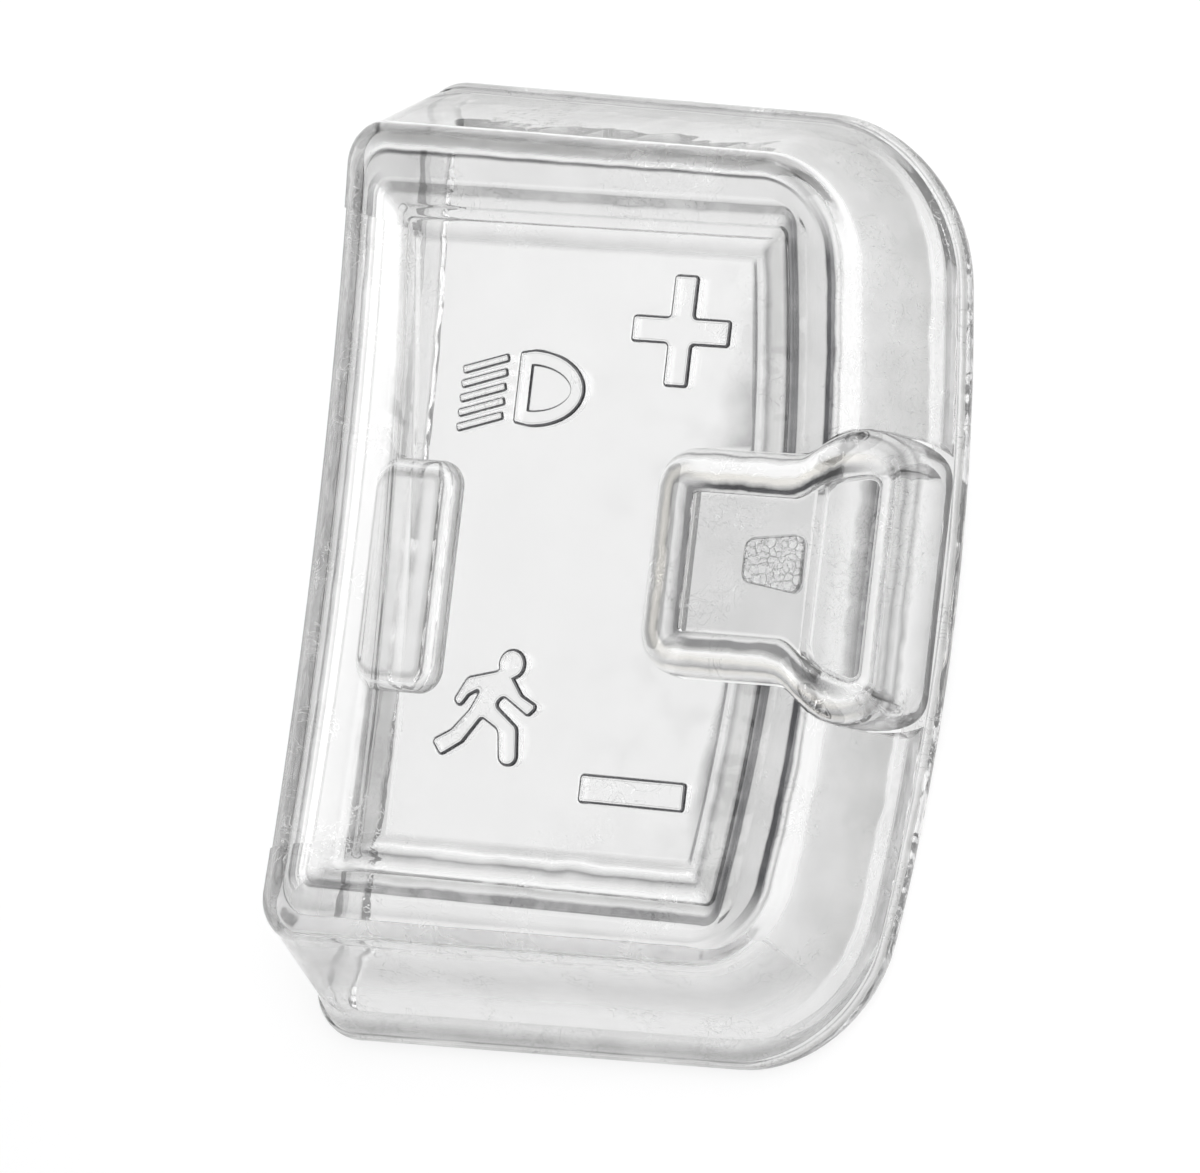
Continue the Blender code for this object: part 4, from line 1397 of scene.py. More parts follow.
@dataclass
class ThumbKey:
    """The rimmed pad draped over the right border and down the skirt, with its frosted patch."""

    plan: CoverPlan
    finish: ClearMoulding
    patch_finish: CrazedMoulding
    pad: PadPlan = PadPlan(
        length=19.0 * MM,
        half_left=8.6 * MM,
        half_right=11.2 * MM,
        flare_start=12.0 * MM,
        flare_end=16.4 * MM,
        bend_start=13.7 * MM,
        corner=3.2 * MM,
    )
    from_rim: float = 0.1 * MM
    centre: float = 0.7 * MM
    face_rise: float = 1.7 * MM
    drop: float = 4.7 * MM
    wall: float = 1.3 * MM
    gap: float = 0.14 * MM
    foot: float = 3.0 * MM
    bead: PadInset = PadInset(1.6 * MM, 0.9 * MM, 1.5 * MM)
    face: PadInset = PadInset(4.0 * MM, 2.6 * MM, 3.8 * MM)
    bead_rise: float = 1.1 * MM
    bead_rise_right: float = 0.65 * MM
    bead_round: float = 1.9 * MM
    ring_past_crest: float = 0.9 * MM
    ring_edge: float = 0.3 * MM
    ring_round: float = 0.4 * MM
    wall_round: float = 0.25 * MM
    face_walls: float = 0.3
    steep_walls: float = 1.5
    foot_width: float = 0.5 * MM
    mark_width: float = 0.02 * MM
    slope_share: float = 0.8
    face_share: float = 0.95
    bead_steps: int = 12
    slope_steps: int = 12
    patch_length: float = 5.0 * MM
    patch_half_left: float = 1.6 * MM
    patch_half_right: float = 2.3 * MM
    patch_corner: float = 0.8 * MM
    patch_from_left: float = 10.8 * MM
    patch_lift: float = 0.4 * MM
    patch_thickness: float = 0.5 * MM
    patch_proud: float = 0.1 * MM
    patch_gap: float = 0.1 * MM
    patch_edge: float = 0.1 * MM
    recess_height: float = 4.0 * MM

    @property
    def place(self) -> Vector:
        """The middle of the pad's plan."""
        x = self.plan.width / 2 - self.from_rim - self.pad.length / 2
        return Vector((x, self.centre, 0)) + self.plan.to_row_frame

    @property
    def face_height(self) -> float:
        """The height of the sunk face."""
        return self.plan.panel_height + self.face_rise

    def lines(self) -> list[PadLine]:
        """Lays the pad's lines, from its underside over its rounded bead to its sunk face.

        Returns:
            The lines.
        """
        face, face_right = self.face_height, self.face_height - self.drop
        bead, bead_right = face + self.bead_rise, face_right + self.bead_rise_right
        low, low_right = face - self.wall, face_right - self.steep_walls * self.wall
        ring = self.bead.deeper(self.ring_past_crest)
        edge = PadInset()
        underside, foot = self.plan.panel_underside, self.foot
        lines = [
            (self.face.deeper(self.face_walls * self.wall), low, low_right, BEYOND, BEYOND),
            (ring.deeper(self.ring_edge), low, low_right, BEYOND, BEYOND),
            (ring, underside, foot, BEYOND, BEYOND),
            (edge.deeper(self.foot_width + self.mark_width), underside, foot, BEYOND, BEYOND),
            (edge.deeper(self.foot_width), underside, foot, PANEL_MARK, PANEL_MARK),
            (edge, underside, foot, PANEL_MARK, PANEL_MARK),
        ]
        for share, inwards, below in quarter_round(self.bead_steps):
            drop = self.bead_round * below
            inset = edge.towards(self.bead, inwards)
            lines.append((inset, bead - drop, bead_right - drop, share, share))
        # The slope down to the face is the same rounding turned over
        for share, fall, short in quarter_round(self.slope_steps)[1:]:
            inset = self.bead.towards(self.face, self.slope_share * (1 - short))
            z, z_right = bead - self.bead_rise * fall, bead_right - self.bead_rise_right * fall
            lines.append((inset, z, z_right, 1 + share, 1 + share))
        lines.append((self.bead.towards(self.face, self.face_share), face, face_right, 3.0, 4.0))
        return lines

    def patch_corners(self) -> list[Corner]:
        """Lays the patch's outline, which is a little taller on its right.

        Returns:
            Its corners.
        """
        x, low, high = self.patch_length / 2, self.patch_half_left, self.patch_half_right
        flat = [(-x, -low), (x, -high), (x, high), (-x, low)]
        return [(a, b, self.patch_corner) for a, b in flat]

    def opening(self) -> bpy.types.Object:
        """The block that cuts the key's opening into the face."""
        prism = self.pad.prism(self.gap, self.plan.band_height / 2, 2 * self.plan.crest_height)
        return make_object("thumb_opening", prism, self.place)

    def build(self) -> None:
        """Builds and dresses the key and its patch."""
        radii = {1: self.ring_round, 2: self.wall_round, 5: self.wall_round}
        key = make_object("thumb_pad", self.pad.solid(self.lines(), radii), self.place)
        middle = self.place + Vector(
            (self.patch_from_left - self.pad.length / 2, self.patch_lift, 0)
        )
        low = self.face_height + self.patch_proud - self.patch_thickness
        around = grown(self.patch_corners(), self.patch_gap)
        recess = plate(around, low - self.patch_gap, low + self.recess_height)
        marks = Marks([key], self.face_height - self.wall)
        work(key, make_object("patch_recess", recess, middle), Join.TAKE_AWAY)
        marks.lay_on(key)
        dress(key, self.finish, Body.THUMB, ["thumb_key"])

        lines = [(0.0, low, BEYOND), *rounded_top(low + self.patch_thickness, self.patch_edge)]
        patch = block(self.patch_corners(), lines, "crazed_patch", middle)
        dress(patch, self.patch_finish, Body.THUMB, ["thumb_key_patch"])


@dataclass
class SidePocket:
    """The rounded tab on the left of the panel. It is moulded in one with the face."""

    plan: CoverPlan
    pad: PadPlan = PadPlan(
        length=7.5 * MM,
        half_left=8.95 * MM,
        half_right=8.95 * MM,
        flare_start=0.0,
        flare_end=7.5 * MM,
        bend_start=0.0,
        corner=2.0 * MM,
        ends_have_own_painted_bands=False,
    )
    from_left: float = 7.6 * MM
    centre: float = -2.0 * MM
    rise: float = 1.15 * MM
    edge_round: float = 1.0 * MM
    top_inset: PadInset = PadInset(0.7 * MM, 2.0 * MM, 1.7 * MM)
    steps: int = 10
    root: float = 0.3 * MM
    foot_mark: float = POCKET_TOP_MARK - 1

    @property
    def place(self) -> Vector:
        """The middle of the pocket's plan."""
        x = self.from_left - self.plan.width / 2 + self.pad.length / 2
        return Vector((x, self.centre, 0)) + self.plan.to_row_frame

    @property
    def right_edge(self) -> float:
        """Where the pocket's right edge lies, before the move to the row frame."""
        return self.from_left - self.plan.width / 2 + self.pad.length

    def solid(self) -> bpy.types.Object:
        """Builds the pocket from its root in the panel over its soft edge to its flat top.

        Returns:
            The solid.
        """
        top = self.plan.panel_height + self.rise
        base = self.plan.panel_underside + self.root
        lines = [(PadInset(), base, base, self.foot_mark, self.foot_mark)]
        for share, inwards, below in quarter_round(self.steps):
            z, mark = top - self.edge_round * below, self.foot_mark + share
            lines.append((PadInset().towards(self.top_inset, inwards), z, z, mark, mark))
        return make_object("pocket_solid", self.pad.solid(lines), self.place)


# ---------------------------------------------------------------------------------------------
# Signs: keys that are pressed through the panel
# ---------------------------------------------------------------------------------------------


@dataclass
class Sign:
    """A raised sign that fills its own opening of the panel and is pressed through it."""

    plan: CoverPlan
    finish: ClearMoulding
    node: str
    body: Body
    corners: list[Corner]
    middle: tuple[float, float]
    proud: float = 0.05 * MM
    edge: float = 0.12 * MM
    gap: float = 0.04 * MM
    rounding: int = 4
    opening_foot: float = 4.0 * MM
    dish_wall: float = 0.0
    dish_depth: float = 0.2 * MM
    # The dish's lines: how many edges they lie inside its wall, how deep of 1, and their marks
    dish: tuple[tuple[float, float, float], ...] = (
        (-1.3, 0.0, 4.0),
        (-0.7, 0.1, 2.0),
        (0.0, 1.0, 1.0),
        (0.3, 1.0, 2.0),
        (1.0, 1.0, 4.0),
    )

    @property
    def place(self) -> Vector:
        """The sign's middle in the row frame."""
        return Vector((*self.middle, 0)) + self.plan.to_row_frame

    def opening(self) -> bpy.types.Object:
        """Builds the block that cuts the sign's opening, with the soft brim round its top.

        Returns:
            The block.
        """
        surface = self.plan.panel_height - self.plan.wrap_drop
        steps = [(0.0, self.opening_foot)]
        for _, outwards, below in quarter_round(self.rounding):
            steps.append((self.edge * outwards, surface - self.edge * below))
        steps.append((self.edge, self.plan.crest_height))
        lines = [(-self.gap - grow, z, BEYOND) for grow, z in steps]
        return block(self.corners, lines, self.node + "_opening", self.place)

    def lines(self) -> list[tuple[float, float, float]]:
        """Lays the sign's lines, from its foot up its wall and over its rounded edge to its top.

        Returns:
            How far in each line lies, its height and its mark.
        """
        high, edge = self.plan.panel_height + self.proud, self.edge
        lines = [(0.0, self.plan.panel_underside, BEYOND), *rounded_top(high, edge, self.rounding)]
        if self.dish_wall:
            for edges, deep, mark in self.dish:
                lines.append((self.dish_wall + edges * edge, high - deep * self.dish_depth, mark))
        return lines

    def build(self) -> None:
        """Builds and dresses the sign."""
        name = self.node.replace("_key", "_sign") + "_pressed"
        sign = block(self.corners, self.lines(), name, self.place)
        dress(sign, self.finish, self.body, [self.node])


@dataclass
class SignSet:
    """All the signs, set out from the panel's right corners and from the side pocket."""

    plan: CoverPlan
    pocket: SidePocket
    finish: ClearMoulding
    corner: float = 0.3 * MM
    plus_half: float = 4.25 * MM
    plus_bar: float = 1.025 * MM
    plus_from_corner: tuple[float, float] = (8.05 * MM, 6.05 * MM)
    minus_half: tuple[float, float] = (4.6 * MM, 1.1 * MM)
    minus_from_corner: tuple[float, float] = (7.7 * MM, 5.2 * MM)
    lamp_half: float = 2.95 * MM
    lamp_depth: float = 5.95 * MM
    lamp_back: float = 0.22
    lamp_back_height: float = 0.92
    lamp_wall: float = 1.2 * MM
    lamp_steps: int = 24
    lamp_from_pocket: tuple[float, float] = (4.95 * MM, 6.05 * MM)
    beams: int = 5
    beam_half: tuple[float, float] = (2.05 * MM, 0.31 * MM)
    beam_round: float = 0.6
    beam_edge: float = 0.08 * MM
    beam_pitch: float = 1.11 * MM
    beam_tilt: float = math.radians(17)
    beam_from_lamp: tuple[float, float] = (4.25 * MM, 0.6 * MM)
    walk_from_pocket: tuple[float, float] = (4.2 * MM, 0.4 * MM)
    head: tuple[float, float, float] = (1.85 * MM, 3.27 * MM, 1.16 * MM)
    head_start: float = math.radians(-50)
    head_turn: float = math.radians(250)
    head_steps: int = 18

    @staticmethod
    def box(x: float, y: float, radius: float) -> list[Corner]:
        """A rounded rectangle of those half sizes."""
        return [(-x, -y, radius), (x, -y, radius), (x, y, radius), (-x, y, radius)]

    def plus(self) -> list[Corner]:
        """Lays the plus's outline.

        Returns:
            Its corners.
        """
        half, bar = self.plus_half, self.plus_bar
        arm = [(half, -bar), (half, bar), (bar, bar)]
        corners: list[Corner] = []
        for _ in range(4):
            corners += [(x, y, self.corner) for x, y in arm]
            arm = [(-y, x) for x, y in arm]
        return corners

    def lamp(self) -> list[Corner]:
        """Lays the outline of the lamp's D: a nearly straight back with an elliptical front.

        Returns:
            Its corners.
        """
        back = self.lamp_back * self.lamp_depth
        front, height = self.lamp_depth - back, self.lamp_half
        corners = [
            (0.0, height, 0.0),
            (-back, self.lamp_back_height * height, self.corner),
            (-back, -self.lamp_back_height * height, self.corner),
        ]
        for k in range(self.lamp_steps):
            angle = -math.pi / 2 + math.pi * k / self.lamp_steps
            corners.append((front * math.cos(angle), height * math.sin(angle), 0.0))
        return corners

    def beam(self) -> list[Corner]:
        """Lays the outline of one slanted beam.

        Returns:
            Its corners.
        """
        c, s = math.cos(self.beam_tilt), math.sin(self.beam_tilt)
        x, y = self.beam_half
        flat = self.box(x, y, self.beam_round * y)
        return [(a * c - b * s, a * s + b * c, radius) for a, b, radius in flat]

    def walk(self) -> list[Corner]:
        """Lays the walking figure's outline about the middle of its body.

        Returns:
            Its corners.
        """
        # In millimetres, anticlockwise from the left of the neck
        tight, firm, soft = 0.3, 0.38, 0.8
        body = [
            (0.62, 2.70, tight), (-1.95, 2.05, soft), (-2.95, 0.25, firm), (-2.35, -0.40, firm),
            (-1.62, 0.62, firm), (-0.70, 1.15, tight), (-1.50, -0.45, soft), (-2.90, -2.05, soft),
            (-4.50, -2.95, firm), (-3.55, -4.15, firm), (-1.75, -3.00, soft), (-0.28, -0.98, tight),
            (1.25, -1.80, soft), (1.62, -4.45, soft), (3.30, -4.45, soft), (2.95, -1.45, soft),
            (0.80, 0.10, firm), (1.45, 0.75, firm), (3.75, -0.65, firm), (4.60, 0.25, firm),
            (3.05, 1.00, soft), (2.18, 2.15, 0.0),
        ]
        corners = [(x * MM, y * MM, radius * MM) for x, y, radius in body]
        x, y, radius = self.head
        for k in range(self.head_steps + 1):
            angle = self.head_start + self.head_turn * k / self.head_steps
            corners.append((x + radius * math.cos(angle), y + radius * math.sin(angle), 0.0))
        return corners

    def signs(self) -> list[Sign]:
        """Sets out every sign with its body, its outline and its place.

        Returns:
            The signs.
        """
        plan, pocket = self.plan, self.pocket
        right = plan.width / 2 - plan.panel_inset.right
        top = plan.length / 2 - plan.panel_inset.top
        bottom = plan.panel_inset.bottom - plan.length / 2
        pocket_top = pocket.centre + pocket.pad.half_left
        pocket_bottom = pocket.centre - pocket.pad.half_left
        lamp = (
            pocket.right_edge + self.lamp_from_pocket[0],
            pocket_top + self.lamp_from_pocket[1],
        )
        walk = (
            pocket.right_edge + self.walk_from_pocket[0],
            pocket_bottom - self.walk_from_pocket[1],
        )
        plus = (right - self.plus_from_corner[0], top - self.plus_from_corner[1])
        minus = (right - self.minus_from_corner[0], bottom + self.minus_from_corner[1])
        bar = self.box(*self.minus_half, self.corner)
        sign = partial(Sign, plan, self.finish)
        made = [
            sign("plus_key", Body.PLUS, self.plus(), plus),
            sign("minus_key", Body.MINUS, bar, minus),
            sign("walk_key", Body.WALK, self.walk(), walk),
            sign("lamp_key", Body.LAMP, self.lamp(), lamp, dish_wall=self.lamp_wall),
        ]
        for k in range(self.beams):
            lift = (self.beams // 2 - k) * self.beam_pitch - self.beam_from_lamp[1]
            place = (lamp[0] - self.beam_from_lamp[0], lamp[1] + lift)
            name = f"lamp_beam_{k + 1}"
            made.append(sign(name, Body.LAMP, self.beam(), place, edge=self.beam_edge))
        return made


# ---------------------------------------------------------------------------------------------
# The face and the rim band
# ---------------------------------------------------------------------------------------------


@dataclass
class RimBand:
    """The thickened bead round the open back, with the lip that grips the remote control."""

    plan: CoverPlan
    finish: ClearMoulding
    bulge: float = 0.5 * MM
    thickness: float = 1.9 * MM
    lip_reach: float = 1.1 * MM
    lip_height: float = 1.2 * MM
    lip_slope: float = 0.3 * MM
    lip_round: float = 0.2 * MM
    foot_round: float = 0.15 * MM
    steps: int = 12
    round_steps: int = 3

    def section(self) -> list[tuple[float, float]]:
        """Lays the band's section, from the floor round the bead to the lip.

        Returns:
            How far in and how high each point lies.
        """
        height = self.plan.band_height
        section = []
        for k in range(self.steps + 1):
            angle = math.pi * (k / self.steps - 0.5)
            z = height / 2 * (1 + math.sin(angle))
            section.append((self.bulge * (1 - math.cos(angle)), z))
        section += [
            (self.thickness, height),
            (self.thickness, self.lip_height + self.lip_slope),
            (self.thickness + self.lip_reach, self.lip_height),
            (self.thickness + self.lip_reach, 0.0),
        ]
        return section

    def build(self) -> None:
        """Builds and dresses the band."""
        section = self.section()
        rings = []
        for k, (inset, z) in enumerate(section):
            across = k / self.steps if k <= self.steps else BEYOND
            line = replace(self.plan.rim_line(inset, z), across=across)
            rings.append(self.plan.points(line))
        last = len(rings) - 1
        radii = {last - 3: self.lip_round, last - 2: self.lip_round, last - 1: self.foot_round}
        skin = skin_through(softened(rings, radii, self.round_steps), self.plan.ends())
        skin.draw_to(rings[0])
        band = make_object("rim_bead", skin.finished(), self.plan.to_row_frame)
        dress(band, self.finish, Body.COVER, ["rim_band"])


@dataclass
class Face:
    """The skirt, the rounded border, the stepped bevel and the key panel, as one moulding."""

    plan: CoverPlan
    finish: ClearMoulding
    waist_inset: float = 0.5 * MM
    seam_gap: float = 0.2 * MM
    foot_height: float = 3.8 * MM
    foot: Sides = Sides(0.55 * MM, 1.2 * MM, 2.4 * MM, 1.25 * MM)
    foot_corners: tuple[float, float] = (3.4 * MM, 11.0 * MM)
    skirt_rise: float = 8.2 * MM
    skirt_run: Sides = Sides(0.25 * MM, 2.05 * MM, 4.35 * MM, 3.25 * MM)
    skirt_taper: float = math.radians(1.2)
    skirt_bow: float = 4.4 * MM
    skirt_corners: tuple[float, float] = (3.3 * MM, 8.0 * MM)
    fold_rise: float = 2.1 * MM
    fold_run: Sides = Sides(1.9 * MM, 1.7 * MM, 2.1 * MM, 2.0 * MM)
    fold_steps: int = 16
    crest_taper: float = math.radians(0.9)
    crest_bow: float = 4.7 * MM
    crest_corners: tuple[float, float] = (2.8 * MM, 6.2 * MM)
    brow_drop: float = 0.15 * MM
    brow_run: Sides = Sides(1.3 * MM, 2.0 * MM, 1.1 * MM, 1.8 * MM)
    brow_bow: float = 5.1 * MM
    brow_corners: tuple[float, float] = (1.8 * MM, 3.6 * MM)
    groove_drop: float = 0.4 * MM
    groove_run: Sides = Sides(0.9 * MM, 1.1 * MM, 0.95 * MM, 1.0 * MM)
    groove_bow: float = 5.3 * MM
    groove_corner: float = 1.0 * MM
    panel_edge: float = 0.6 * MM
    foot_round: float = 0.4 * MM
    # The roundings of the brow, the crease's near edge, its bottom, its far edge and the panel
    bevel_rounds: tuple[float, ...] = (0.25 * MM, 0.12 * MM, 0.15 * MM, 0.12 * MM, 0.15 * MM)
    # The inner skin's roundings, from the panel's edge by the rib's four lines down to the foot
    inner_rounds: tuple[float, ...] = (
        0.15 * MM, 0.15 * MM, 0.2 * MM, 0.2 * MM, 0.15 * MM,
        0.2 * MM, 0.25 * MM, 0.2 * MM, 0.25 * MM, 0.6 * MM,
    )
    inner_crest_share: float = 0.3
    inner_fold_walls: float = 0.2
    closing_width: float = 0.05 * MM
    seam_flare: float = math.radians(12.5)
    seam_inside: float = 0.25 * MM
    seam_beyond: float = 2.0 * MM
    seam_above: float = 1.0 * MM
    seam_steps: int = 24
    crease: float = 0.08 * MM
    crease_half: float = 0.25 * MM
    crease_share: float = 0.4
    rib_drop: float = 0.3 * MM
    rib_slope: float = 0.1
    rib_start: float = 0.38
    rib_end: float = 0.72

    def line(
        self,
        inset: Sides,
        z: float,
        corners: tuple[float, float],
        taper: float,
        bow: float,
        across: float = PANEL_MARK,
    ) -> Ring:
        """Draws one line of the face. On its inside it has no painted bands.

        Args:
            inset: How far in it lies.
            z: Its height.
            corners: The radii of its left and its right corners.
            taper: How far its ends slope.
            bow: How far its right side bows.
            across: How far across the fold it lies.

        Returns:
            Its points.
        """
        return self.plan.points(CoverLine(inset, z, *corners, taper, bow, across=across))

    @property
    def skirt_top(self) -> Sides:
        """How far in the top of the skirt lies."""
        return self.foot.plus(self.skirt_run)

    @property
    def brow(self) -> Sides:
        """How far in the brow lies, inside the crest."""
        return self.skirt_top.plus(self.fold_run).plus(self.brow_run)

    def outer_rings(self) -> list[Ring]:
        """Lays the outer skin's rings, from the waist over the crest down to the panel.

        Returns:
            The rings.
        """
        plan = self.plan
        taper, bow = plan.rim_taper, plan.rim_bow
        rim = (plan.rim_corner_left, plan.rim_corner_right)
        low = plan.band_height + self.seam_gap
        rings = [
            self.line(Sides.even(self.waist_inset), low, rim, taper, bow, 6.0),
            self.line(self.foot, self.foot_height, self.foot_corners, taper, bow, 5.0),
        ]
        for share, inwards, below in quarter_round(self.fold_steps):
            left, right = (
                a + (b - a) * inwards for a, b in zip(self.skirt_corners, self.crest_corners)
            )
            rings.append(
                self.line(
                    self.skirt_top.plus(self.fold_run, inwards),
                    self.foot_height + self.skirt_rise + self.fold_rise * (1 - below),
                    (left, right),
                    self.skirt_taper + (self.crest_taper - self.skirt_taper) * inwards,
                    self.skirt_bow + (self.crest_bow - self.skirt_bow) * inwards,
                    4 - share,
                )
            )
        brow_height = plan.crest_height - self.brow_drop
        panel = plan.panel_line(plan.panel_height)
        flat = plan.panel_line(plan.panel_height, self.panel_edge)
        rings += [
            self.line(self.brow, brow_height, self.brow_corners, 0.0, self.brow_bow, 2.0),
            self.groove_line(brow_height - self.groove_drop, 1.0),
            plan.points(replace(panel, across=0.0)),
            plan.points(replace(flat, across=PANEL_MARK)),
        ]
        last = len(rings) - 1
        rings[last - 2 : last - 1] = self.creased(*rings[last - 3 : last])
        radii = {1: self.foot_round, **dict(enumerate(self.bevel_rounds, last - 3))}
        return softened(rings, radii)

    def groove_line(self, z: float, across: float = PANEL_MARK) -> Ring:
        """Draws the line of the groove round the bevel.

        Args:
            z: Its height.
            across: How far across the fold it lies.

        Returns:
            Its points.
        """
        corners = (self.groove_corner, self.groove_corner)
        inset = self.brow.plus(self.groove_run)
        return self.line(inset, z, corners, 0.0, self.groove_bow, across)

    def creased(self, before: Ring, here: Ring, after: Ring) -> list[Ring]:
        """Sinks a fine groove along a line, between the surfaces on each side of it.

        Args:
            before: The line before it.
            here: The line that the groove follows.
            after: The line after it.

        Returns:
            Three lines in its place: the groove's near edge, its bottom and its far edge.
        """
        near, deep, far = [], [], []
        for a, b, c in zip(before, here, after):
            for edge, towards in ((near, a - b), (far, c - b)):
                reach = min(self.crease_half, self.crease_share * towards.length)
                edge.append(b + towards.normalized() * reach)
            deep.append(b - Vector((0, 0, self.crease, 0)))
        return [near, deep, far]

    def inner_rings(self) -> list[Ring]:
        """Lays the inner skin's rings, one wall inside, from the panel's underside to the waist.

        Returns:
            The rings.
        """
        plan, wall = self.plan, self.plan.wall
        taper, bow = plan.rim_taper, plan.rim_bow
        rim = (plan.rim_corner_left, plan.rim_corner_right)
        brow_height = plan.crest_height - self.brow_drop
        low = plan.band_height + self.seam_gap
        inner_fold = self.skirt_top.deeper(wall)
        fold_drop = self.inner_fold_walls * wall

        def inside(corners: tuple[float, float]) -> tuple[float, float]:
            """The corners' radii, one wall inside."""
            return corners[0] - wall, corners[1] - wall

        flat = [plan.panel_line(plan.panel_underside, inset) for inset in (self.panel_edge, 0.0)]
        edges = [plan.points(replace(line, across=PANEL_MARK)) for line in flat]
        groove = self.groove_line(brow_height - self.groove_drop - wall)
        rings = [
            *edges,
            *self.rib(edges[1], groove),
            groove,
            self.line(self.brow, brow_height - wall, self.brow_corners, 0.0, self.brow_bow),
            self.line(
                inner_fold.plus(self.fold_run, self.inner_crest_share),
                plan.crest_height - wall,
                (self.crest_corners[0], self.crest_corners[1] - wall),
                self.crest_taper,
                self.crest_bow,
            ),
            self.line(
                inner_fold,
                self.foot_height + self.skirt_rise - fold_drop,
                inside(self.skirt_corners),
                self.skirt_taper,
                self.skirt_bow,
            ),
            self.line(
                self.foot.deeper(wall),
                self.foot_height - fold_drop,
                inside(self.foot_corners),
                taper,
                bow,
            ),
            self.line(Sides.even(self.waist_inset + wall), low, inside(rim), taper, bow),
            self.line(Sides.even(self.waist_inset + self.closing_width), low, rim, taper, bow),
        ]
        return softened(rings, dict(enumerate(self.inner_rounds, 1)))

    def rib(self, start: Ring, end: Ring) -> list[Ring]:
        """Hangs the rib that the remote control's face stops against under the bevel.

        Args:
            start: The inner edge of the bevel's underside.
            end: Its outer edge.

        Returns:
            The rib's four lines.
        """
        lines = []
        for share, drop in (
            (self.rib_start, 0.0),
            (self.rib_start + self.rib_slope, self.rib_drop),
            (self.rib_end - self.rib_slope, self.rib_drop),
            (self.rib_end, 0.0),
        ):
            down = Vector((0, 0, drop, 0))
            lines.append([a.lerp(b, share) - down for a, b in zip(start, end)])
        return lines

    def shell(self) -> bpy.types.Object:
        """Builds the whole face as one closed shell.

        Returns:
            The shell.
        """
        skin = skin_through(self.inner_rings() + self.outer_rings(), self.plan.ends())
        skin.cap()
        return make_object("cover_face", skin.finished(), self.plan.to_row_frame)

    def seam_plan(self) -> list[Corner]:
        """Lays the panel's outline with the seams that carry it over the left side.

        Returns:
            Its corners, anticlockwise.
        """
        plan = self.plan
        inside = self.seam_inside
        right = plan.width / 2 - plan.panel_inset.right - inside
        top = plan.length / 2 - plan.panel_inset.top - inside
        bottom = plan.panel_inset.bottom - plan.length / 2 + inside
        left = -plan.width / 2 + plan.bow_left + plan.panel_inset.left
        beyond = -plan.width / 2 - self.seam_beyond
        flare = (left - beyond) * math.tan(self.seam_flare)
        points = [(beyond, bottom - flare, 0.0), (left, bottom, 0.0)]
        for k in range(self.seam_steps + 1):
            y = bottom + (top - bottom) * k / self.seam_steps
            bow = plan.bow_at(right, plan.panel_bow) * (y / (plan.length / 2)) ** 2
            points.append((right - bow, y, 0.0))
        return [*points, (left, top, 0.0), (beyond, top + flare, 0.0)]

    def parting_step(self) -> bpy.types.Object:
        """Builds the skin that comes off inside the seams: the panel's wrap lies a step lower.

        Returns:
            The skin to take off.
        """
        top = self.plan.crest_height + self.seam_above
        over = plate(self.seam_plan(), self.foot_height, top)
        step = make_object("parting_step", over, self.plan.to_row_frame)
        outer = self.outer_rings()
        floor = [Vector((p.x, p.y, 0, 0)) for p in outer[0]]
        skin = skin_through([floor, *outer], self.plan.ends())
        skin.cap()
        drop = self.plan.wrap_drop
        place = self.plan.to_row_frame + Vector((drop, 0, -drop))
        core = make_object("parting_core", skin.finished(), place)
        work(step, core, Join.TAKE_AWAY)
        return step

    def build(self, pocket: SidePocket, openings: Sequence[bpy.types.Object]) -> None:
        """Builds and dresses the face.

        Args:
            pocket: The side pocket, which is moulded in one with it.
            openings: The blocks that cut the openings of the keys.
        """
        face, tab = self.shell(), pocket.solid()
        marks = Marks([face, tab], self.plan.panel_underside)
        work(face, self.parting_step(), Join.TAKE_AWAY)
        work(face, tab, Join.UNITE)
        for opening in openings:
            work(face, opening, Join.TAKE_AWAY)
        marks.lay_on(face)
        nodes = ["frame_shell", "key_panel", "side_pocket"]
        dress(face, self.finish, Body.COVER, nodes)


# ---------------------------------------------------------------------------------------------
# Studio
# ---------------------------------------------------------------------------------------------


@dataclass(frozen=True)
class Lamp:
    """One soft box: where it stands, how large it is and how much light it gives."""

    name: str
    place: tuple[float, float, float]
    size: tuple[float, float]
    watts: float
    colour: str = "#FFFFFF"

    def build(self) -> None:
        """Adds the soft box, aimed at the cover. Only what it lights shows, not the box itself."""
        data = bpy.data.lights.new(self.name, "AREA")
        data.shape = "RECTANGLE"
        data.size, data.size_y = self.size
        data.energy = self.watts
        data.color = linear(self.colour)[:3]
        lamp = bpy.data.objects.new(self.name, data)
        place = Vector(self.place)
        lamp.rotation_mode = "QUATERNION"
        lamp.rotation_quaternion = (-place).to_track_quat("-Z", "Y")
        lamp.location = place
        lamp.visible_camera = False
        bpy.context.scene.collection.objects.link(lamp)


